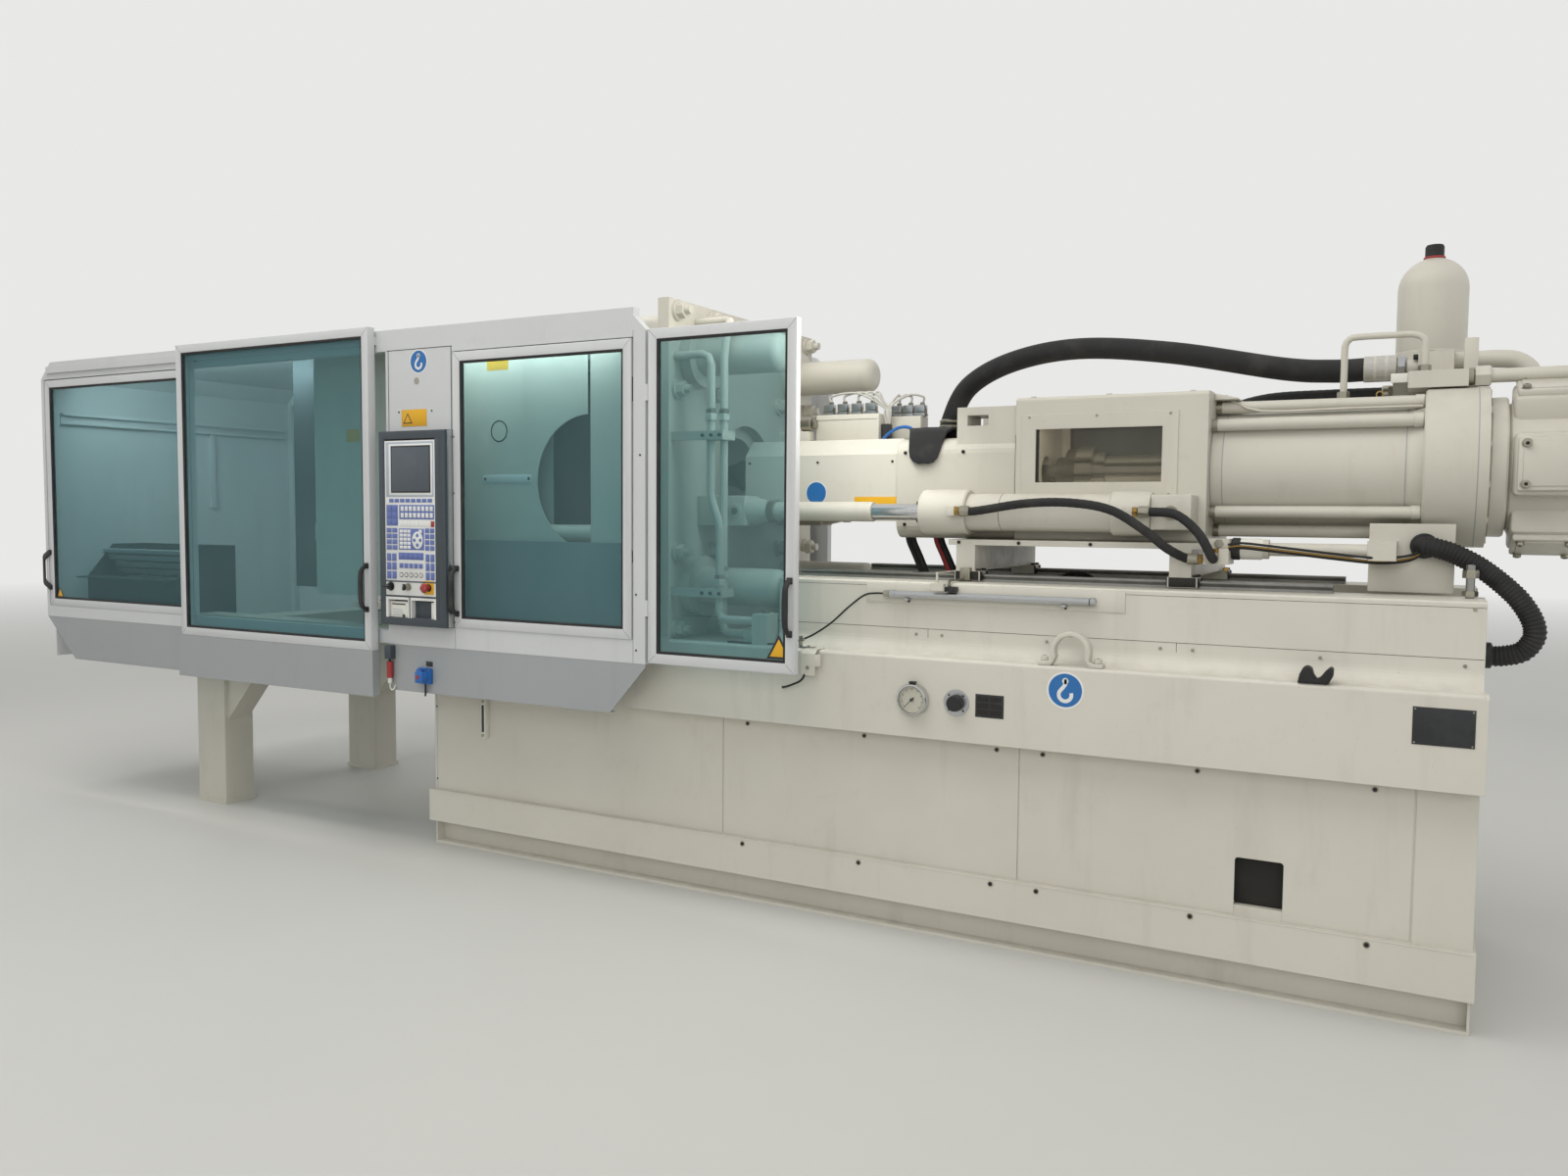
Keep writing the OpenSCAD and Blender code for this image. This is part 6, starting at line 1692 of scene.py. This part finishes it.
def unit_pipework():
    """Loop pipe, elbow pipe, nuts, plugs and clamps on the injection unit."""
    shape = Shape()
    # loop pipe over the flange
    shape.tube([(2689, 0, 1900), (2689, 0, 1990), (2689, 0, 2055), (2700, 0, 2078), (2725, 0, 2086),
                (2840, 0, 2086),
                (2890, 0, 2085), (2918, 0, 2072), (2925, 0, 2045), (2925, 0, 1975)], 22, "cream_enamel", 14,
                3)
    shape.nut("z", (2689, 0), 34, 1880, 1908, "zinc_fitting")
    shape.nut("z", (2925, 0), 34, 1961, 1985, "zinc_fitting")
    # thick elbow pipe and the straight pipe with its nut over the motor
    shape.tube([(3005, 150, 2010), (3060, 150, 2010), (3130, 150, 2010), (3185, 150, 2003), (3222, 150, 1975),
                (3236, 150, 1935), (3238, 150, 1890)], 58, "cream_enamel", 20, 3)
    shape.rod("x", (-20, 1938), 44, 3030, 3400, "cream_enamel", 28, 3)
    shape.nut("x", (-20, 1938), 62, 3068, 3112, "cream_enamel")
    shape.ring("x", (-20, 1938), 27, 21, 3040, 3066, "zinc_fitting", 28, 2)
    shape.box(3036, 3076, 40, 52, 1905, 2070, "cream_enamel", 2)
    # shoulder of the housing's end over the upper tie rods, and the thin pipe between them
    shape.prism("y", [(2300.3, 1884), (2300.3, 1906), (2306, 1906), (2376, 1889), (2376, 1884)], -130, 130,
                "cream_enamel", 2)
    shape.tube([(2330, -70, 1905), (2330, -70, 1892), (2350, -90, 1884), (2450, -120, 1842),
                (2700, -122, 1842), (2880, -122, 1842), (2925, -122, 1842)], 8, "cream_enamel", 10, 3)
    # plugs and bolts of the accumulator block
    for y in (170, 250, 330):
        shape.nut("x", (y, 1920), 30, 2830 - 12, 2830, "zinc_fitting")
    for dx in (-34, 34):
        for dz in (-30, 30):
            shape.rod("x", (150 + dx, 1995 + dz), 18, 2890, 2905, "black_oxide", 18, 1.5)
    shape.box(2830, 2880, -52, -44, 1925, 1955, "white_plastic", 2)
    # ribbed ferrule and nut of the feed hose
    shape.turned("x", (150, 1995), [(40, 2743), (44, 2746), (44, 2772), (42, 2776), (44, 2780), (44, 2806),
                                    (42, 2810),
                                    (44, 2814), (44, 2836), (36, 2842), (31, 2842)], "drawn_aluminium", 40)
    shape.nut("x", (150, 1995), 74, 2846, 2872, "drawn_aluminium")
    # flanged elbow of the feed hose on the throat end
    shape.box(1195, 1295, 100, 200, 1776, 1797, "cream_enamel", 4)
    for dx in (-36, 36):
        for dy in (-36, 36):
            shape.rod("z", (1245 + dx, 150 + dy), 17, 1797, 1809, "black_oxide", 18, 1.5)
    shape.rod("z", (1245, 150), 92, 1797, 1850, "zinc_fitting", 40, 5)
    shape.rod("z", (1245, 150), 88, 1856, 1872, "zinc_fitting", 40, 5)
    # lower block: plugs, dark clamp, pale union
    shape.nut("y", (2340, 1350), 26, -412, -400, "zinc_fitting")
    shape.nut("y", (2366, 1402), 24, -397, -385, "zinc_fitting")
    shape.ring("x", (-325, 1384), 36, 21, 2398.2, 2424, "black_plastic", 40, 3)
    shape.turned("x", (-325, 1384), [(21, 2424), (34, 2426), (34, 2486), (28, 2500), (21, 2504)],
                 "white_plastic", 40)
    shape.rod("y", (2392, 1320), 14, -412, -398, "brass_fitting", 16, 2)
    # brass eye bolt on the upper tie rod
    shape.ring("y", (2801, 1886), 12, 8, -89, -82, "brass_fitting", 24, 2)
    shape.done("unit_pipework", "carriage", "machine_paint")


def hose_ends():
    """Ferrules and nuts at the hose ends, each along its own hose."""
    shape = Shape()
    for a, b, c in (((1487, -432, 1501), "x", 1), ((2102, -432, 1501), "x", 1),
                    ((2320, -389, 1350), "x", -1)):
        x = a[0]
        if c > 0:
            shape.nut("x", (a[1], a[2]), 30, x, x + 16, "brass_fitting")
            shape.ring("x", (a[1], a[2]), 18.5, 14, x + 16, x + 52, "zinc_fitting", 28, 3)
        else:
            shape.nut("x", (a[1], a[2]), 30, x - 14, x, "brass_fitting")
            shape.ring("x", (a[1], a[2]), 18.5, 14, x - 50, x - 14, "zinc_fitting", 28, 3)
    shape.nut("z", (2352, -400), 28, 1372, 1386, "brass_fitting")
    shape.ring("z", (2352, -408), 18, 14, 1354, 1372, "zinc_fitting", 28, 3)
    shape.ring("x", (230, 1915), 31, 24, 2796, 2829, "zinc_fitting", 32, 4)
    shape.done("hose_ends", "carriage", "steel_bright")


FEED = [(1245, 150, 1797), (1245, 150, 1860), (1320, 150, 2000), (1500, 150, 2090), (1760, 150, 2125),
        (2100, 150, 2090), (2480, 150, 2012), (2640, 150, 1995), (2742, 150, 1995)]
LOW = [(2100, 240, 1760), (2100, 270, 1760), (2150, 305, 1800), (2260, 305, 1870), (2420, 270, 1912),
       (2640, 230, 1915),
       (2830, 230, 1915)]
FRONT = [(1487, -432, 1501), (1560, -432, 1501), (1740, -448, 1527), (1900, -462, 1530), (2040, -478, 1506),
         (2150, -474, 1440), (2215, -445, 1384), (2272, -389, 1350), (2320, -389, 1350)]
REAR = [(2102, -432, 1501), (2160, -432, 1501), (2240, -438, 1492), (2310, -446, 1435), (2352, -440, 1360),
        (2352, -406, 1354)]
END = [(2945, -230, 1402), (2945, -256, 1402), (2975, -268, 1397), (3030, -268, 1378), (3110, -272, 1330),
       (3200, -285, 1245), (3240, -300, 1160), (3215, -300, 1100), (3160, -300, 1080), (3110, -300, 1080)]


def unit_hoses():
    """Pressure hoses with wrapped covers, and the corrugated hose that leads the lines to the bed."""
    hose("feed_hose", FEED, 80, "carriage", 0.5, 9.0, 4.5, replaces=("carriage_hoses",))
    hose("low_hose", LOW, 50, "carriage", 0.3, 8.0, 6.0)
    hose("front_hose", FRONT, 30, "carriage", 0.25, 8.0, 6.0)
    hose("rear_hose", REAR, 30, "carriage", 0.25, 8.0, 6.0)
    bed = hose("bed_conduit", END, 60, None, 1.6, sizes().rib_pitch / MM, 1.9, replaces=("bed_hose",))
    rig.blend(bed, "carriage", "frame", (3.02, -0.27, 1.38), (3.2, -0.30, 1.1))
    collar = Shape()
    collar.ring("x", (-300, 1080), 39, 30, 3110.2, 3134, "black_plastic", 40, 4)
    collar.done("conduit_collar_bed", "frame", "black_plastic")
    top = Shape()
    top.ring("y", (2945, 1402), 39, 30, -254, -230.3, "black_plastic", 40, 4)
    top.done("conduit_collar_support", "carriage", "black_plastic")
    # thin leads from the lower block to the conduit
    for i, (name, dz) in enumerate((("black_rubber", 0), ("brass_fitting", -9), ("black_rubber", -16))):
        hose(f"sensor_lead_{i + 1}", [(2396, -402 + i * 4, 1398 + dz), (2440, -410 + i * 5, 1404 + dz),
                                      (2560, -412 + i * 6, 1392 + dz), (2700, -392 + i * 6, 1376 + dz),
                                      (2820, -340 + i * 6, 1364 + dz), (2905, -285 + i * 4, 1372 + dz),
                                      (2945, -262, 1392 + dz * 0.5)], 8 if name == "black_rubber" else 6,
             "carriage", step=10.0, finish_name="black_rubber" if i != 1 else "brass_fitting")


# Clamp end behind the right door

def clamp_details():
    """Bolts, plugs and labels on the platens, pipe unions and clamp bolts behind the right door."""
    shape = Shape()
    # unions on the two painted pipes
    for (x, y), z in (((543, -549), 1840), ((584, -549), 1210), ((580, -515), 1840), ((580, -515), 1240)):
        shape.nut("z", (x, y), 42, z, z + 26, "cream_enamel")
        shape.nut("z", (x, y), 38, z + 27, z + 44, "zinc_fitting")
    for z in (1165, 1765):
        for x in (524, 562, 600):
            shape.rod("y", (x, z + 17), 13, -586, -578, "black_oxide", 16, 1)
    shape.nut("z", (780, -536), 30, 1112, 1124, "zinc_fitting")
    shape.done("pipe_unions", "frame", "machine_paint")
    plates = Shape()
    # screwed strip and bare round sign on the side sheet behind door 3
    plates.box(-573, -310, -586, -584.2, 1608, 1642, "foil_white", 0.4)
    for x in (-560, -323):
        plates.rod("y", (x, 1625), 13, -588.5, -586, "black_oxide", 18, 1)
    plates.ring("y", (-484, 1824), 46, 40, -585, -584.2, "black_oxide", 40, 0.2)
    plates.box(-548, -432, -584.7, -584.2, 2078, 2126, "yellow_foil", 0)
    plates.box(-1398, -1316, -584.7, -584.2, 1800, 1856, "yellow_foil", 0)
    plates.done("platen_plates", "platen", "machine_paint")


def chute_details():
    """Slatted grate over the chute, and the rail and duct on the end wall, seen through the left door."""
    grown("chute_grate", slat_tree(), [(-2946, -560, 1264)], [], {
        "Size": (0.72, 0.006, 0.026), "Step": (0.0, 0.035, -0.038), "Count": 7, "Turn": (0.5, 0.0, 0.0)},
        "grey_profile", "frame", "apron_paint")
    rail = Shape()
    rail.prism("y", [(-3445.8, 1935), (-3418, 1935), (-3418, 1948), (-3422, 1948), (-3422, 1939),
                     (-3441, 1939),
                     (-3441, 1989), (-3422, 1989), (-3422, 1980), (-3418, 1980), (-3418, 1993),
                     (-3445.8, 1993)],
               -690, 690, "grey_profile", 0.6)
    rail.box(-3445.8, -3424, 176, 208, 1500, 1934.6, "grey_profile", 1)
    rail.done("end_wall_rail", "frame", "guard_paint")


def rear_details():
    """Plain finish of the hidden side: the rear door's tracks, screws and louvres."""
    shape = Shape()
    shape.box(-2300, -984, 780.3, 800, 2214, 2232, "drawn_aluminium", 2)
    shape.box(-2300, -984, 780.3, 800, 918, 936, "drawn_aluminium", 2)
    for x in (-2290, -1004):
        shape.box(x, x + 10, 780.3, 812, 2206, 2240, "black_rubber", 2)
    shape.done("rear_door_track", "frame", "guard_paint")
    screws("rear_guard_screws", [(x, 780, z) for x in (-3430, -960, -300, 380) for z in (740, 1500, 2210)]
           + [(x, 780, 740) for x in (-2860, -2320, -1640)],
           "+y", sizes().small_screw / MM + 2, 2, "frame")
    grown("rear_louvres", slat_tree(), [(300, 532, 420), (2360, 532, 420)], [], {
        "Size": (0.34, 0.014, 0.005), "Step": (0.0, 0.0, 0.022), "Count": 9, "Turn": (0.55, 0.0, 0.0)},
        "cream_sheet", "frame", "cabinet_paint")


def carriage_details():
    """Bearing blocks' wipers, foot bolts and the carriage's side screws."""
    shape = Shape()
    for x in (1470, 2210):
        for s in (-1, 1):
            y = s * CYLINDER_SIDE
            for a, b in ((x - 9, x - 5), (x + 90, x + 94)):
                shape.box(a, b, y - 40, y - 22.6, 1255, 1286, "black_rubber", 1)
                shape.box(a, b, y + 22.6, y + 40, 1255, 1286, "black_rubber", 1)
            face = y - 43 if s < 0 else y + 43
            a, b = (face - 3, face) if s < 0 else (face, face + 3)
            shape.box(x, x + 86, a, b, 1256, 1287, "black_oxide", 1)
    shape.done("bearing_wipers", "carriage", "black_steel")
    screws("foot_screws", [(x + dx, s * CYLINDER_SIDE + dy, 1288) for x in (1470, 2210) for dx in (78,
            84) for s in (-1, 1)
                           for dy in (-28, 28)], "+z", 11, 8, "carriage")
    screws("carriage_plate_screws", [(x, -370, 1390) for x in (1480, 1700, 1950, 2200)], "-y", 12, 5,
           "carriage")


# Operators: one for each group of pieces

class MOULDING_OT_stage(bpy.types.Operator):
    """Camera, floor and light"""
    bl_idname = "moulding.stage"
    bl_label = "Stage"

    def execute(self, context):
        scene = context.scene
        scene.view_settings.view_transform = "Standard"
        make_camera()
        make_floor()
        make_light()
        return {"FINISHED"}


class MOULDING_OT_solids(bpy.types.Operator):
    """Finishes for the solids that keep their shape"""
    bl_idname = "moulding.solids"
    bl_label = "Painted and bare solids"

    def execute(self, context):
        dress_solids()
        return {"FINISHED"}


class MOULDING_OT_doors(bpy.types.Operator):
    """Door frames with gaskets and handles"""
    bl_idname = "moulding.doors"
    bl_label = "Guard doors"

    def execute(self, context):
        for number in DOORS:
            make_door(number)
        flat_grip()
        bow_handle("door_2_handle", -1004, -830, 1160, "door_main")
        bow_handle("door_3_handle", -531, -786, 1160, "door_mould")
        bow_handle("door_4_handle", 1014, -780, 1160, "door_nozzle")
        bow_handle("rear_door_handle", -1030, 810, 1160, "door_back", 1)
        sliding_gear()
        return {"FINISHED"}


class MOULDING_OT_guard(bpy.types.Operator):
    """Seams, seals and small fittings of the guard"""
    bl_idname = "moulding.guard"
    bl_label = "Guard fittings"

    def execute(self, context):
        guard_trim()
        safety_plug()
        return {"FINISHED"}


class MOULDING_OT_panel(bpy.types.Operator):
    """Control panel: case, key front and switches"""
    bl_idname = "moulding.panel"
    bl_label = "Control panel"

    def execute(self, context):
        panel_case()
        panel_front()
        panel_switches()
        return {"FINISHED"}


class MOULDING_OT_signs(bpy.types.Operator):
    """Bare plates, stickers and discs"""
    bl_idname = "moulding.signs"
    bl_label = "Plates and signs"

    def execute(self, context):
        signs_and_plates()
        return {"FINISHED"}


class MOULDING_OT_cabinet(bpy.types.Operator):
    """Panel screws, sight glass and seams of the cabinet"""
    bl_idname = "moulding.cabinet"
    bl_label = "Cabinet"

    def execute(self, context):
        cabinet_screws()
        cabinet_details()
        return {"FINISHED"}


class MOULDING_OT_instruments(bpy.types.Operator):
    """Pressure gauge with its pointer and the valve knob"""
    bl_idname = "moulding.instruments"
    bl_label = "Gauge and valve"

    def execute(self, context):
        gauge()
        valve_wheel()
        return {"FINISHED"}


class MOULDING_OT_hood(bpy.types.Operator):
    """Hook bow, rest, bracket, socket and transducer"""
    bl_idname = "moulding.hood"
    bl_label = "Hood fittings"

    def execute(self, context):
        hood_hardware()
        socket()
        transducer_rail()
        return {"FINISHED"}


class MOULDING_OT_housing(bpy.types.Operator):
    """Coupling windows, feed plate, terminal box and hoses of the throat"""
    bl_idname = "moulding.housing"
    bl_label = "Injection housing"

    def execute(self, context):
        housing_details()
        feed_plate()
        terminal_box()
        throat_hoses()
        return {"FINISHED"}


class MOULDING_OT_carriage(bpy.types.Operator):
    """Carriage cylinders, rods, feet and bearings"""
    bl_idname = "moulding.carriage"
    bl_label = "Carriage"

    def execute(self, context):
        carriage_hydraulics()
        carriage_details()
        return {"FINISHED"}


class MOULDING_OT_cylinder(bpy.types.Operator):
    """Collars, seams, bolts, motor and accumulator"""
    bl_idname = "moulding.cylinder"
    bl_label = "Injection cylinder"

    def execute(self, context):
        cylinder_details()
        radial_motor()
        accumulator_bottle()
        return {"FINISHED"}


class MOULDING_OT_pipework(bpy.types.Operator):
    """Pipes, hose ends and hoses of the injection unit"""
    bl_idname = "moulding.pipework"
    bl_label = "Pipes and hoses"

    def execute(self, context):
        unit_pipework()
        hose_ends()
        unit_hoses()
        return {"FINISHED"}


class MOULDING_OT_clamp(bpy.types.Operator):
    """Pipe unions, plates and the chute's grate"""
    bl_idname = "moulding.clamp"
    bl_label = "Clamp end"

    def execute(self, context):
        clamp_details()
        chute_details()
        return {"FINISHED"}


class MOULDING_OT_rear(bpy.types.Operator):
    """Plain fittings of the hidden side"""
    bl_idname = "moulding.rear"
    bl_label = "Hidden side"

    def execute(self, context):
        rear_details()
        return {"FINISHED"}


class MOULDING_PT_panel(bpy.types.Panel):
    """Lists the colours, sizes and pieces"""
    bl_idname = "MOULDING_PT_panel"
    bl_label = "Injection moulding machine"
    bl_space_type = "VIEW_3D"
    bl_region_type = "UI"
    bl_category = "Moulding"

    def draw(self, context):
        column = self.layout.column()
        for group in (context.scene.moulding_colours, context.scene.moulding_sizes):
            for key in group.__annotations__:
                column.prop(group, key)
        for operator in OPERATORS:
            column.operator(operator.bl_idname)


OPERATORS = tuple(c for c in list(globals().values()) if isinstance(c, type) and issubclass(c,
        bpy.types.Operator))
CLASSES = (MouldingColours, MouldingSizes) + OPERATORS + (MOULDING_PT_panel,)


def register():
    for item in CLASSES:
        bpy.utils.register_class(item)
    bpy.types.Scene.moulding_colours = bpy.props.PointerProperty(type=MouldingColours)
    bpy.types.Scene.moulding_sizes = bpy.props.PointerProperty(type=MouldingSizes)


def unregister():
    del bpy.types.Scene.moulding_sizes
    del bpy.types.Scene.moulding_colours
    for item in reversed(CLASSES):
        bpy.utils.unregister_class(item)


def main():
    register()
    for operator in OPERATORS:
        group, name = operator.bl_idname.split(".")
        getattr(getattr(bpy.ops, group), name)()
    with open("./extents.json", "w") as out:
        json.dump({"cad": [list(v) for v in CAD_BOX], "visual": [list(v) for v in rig.bounds()]}, out,
                  indent=1)


if __name__ == "__main__":
    main()
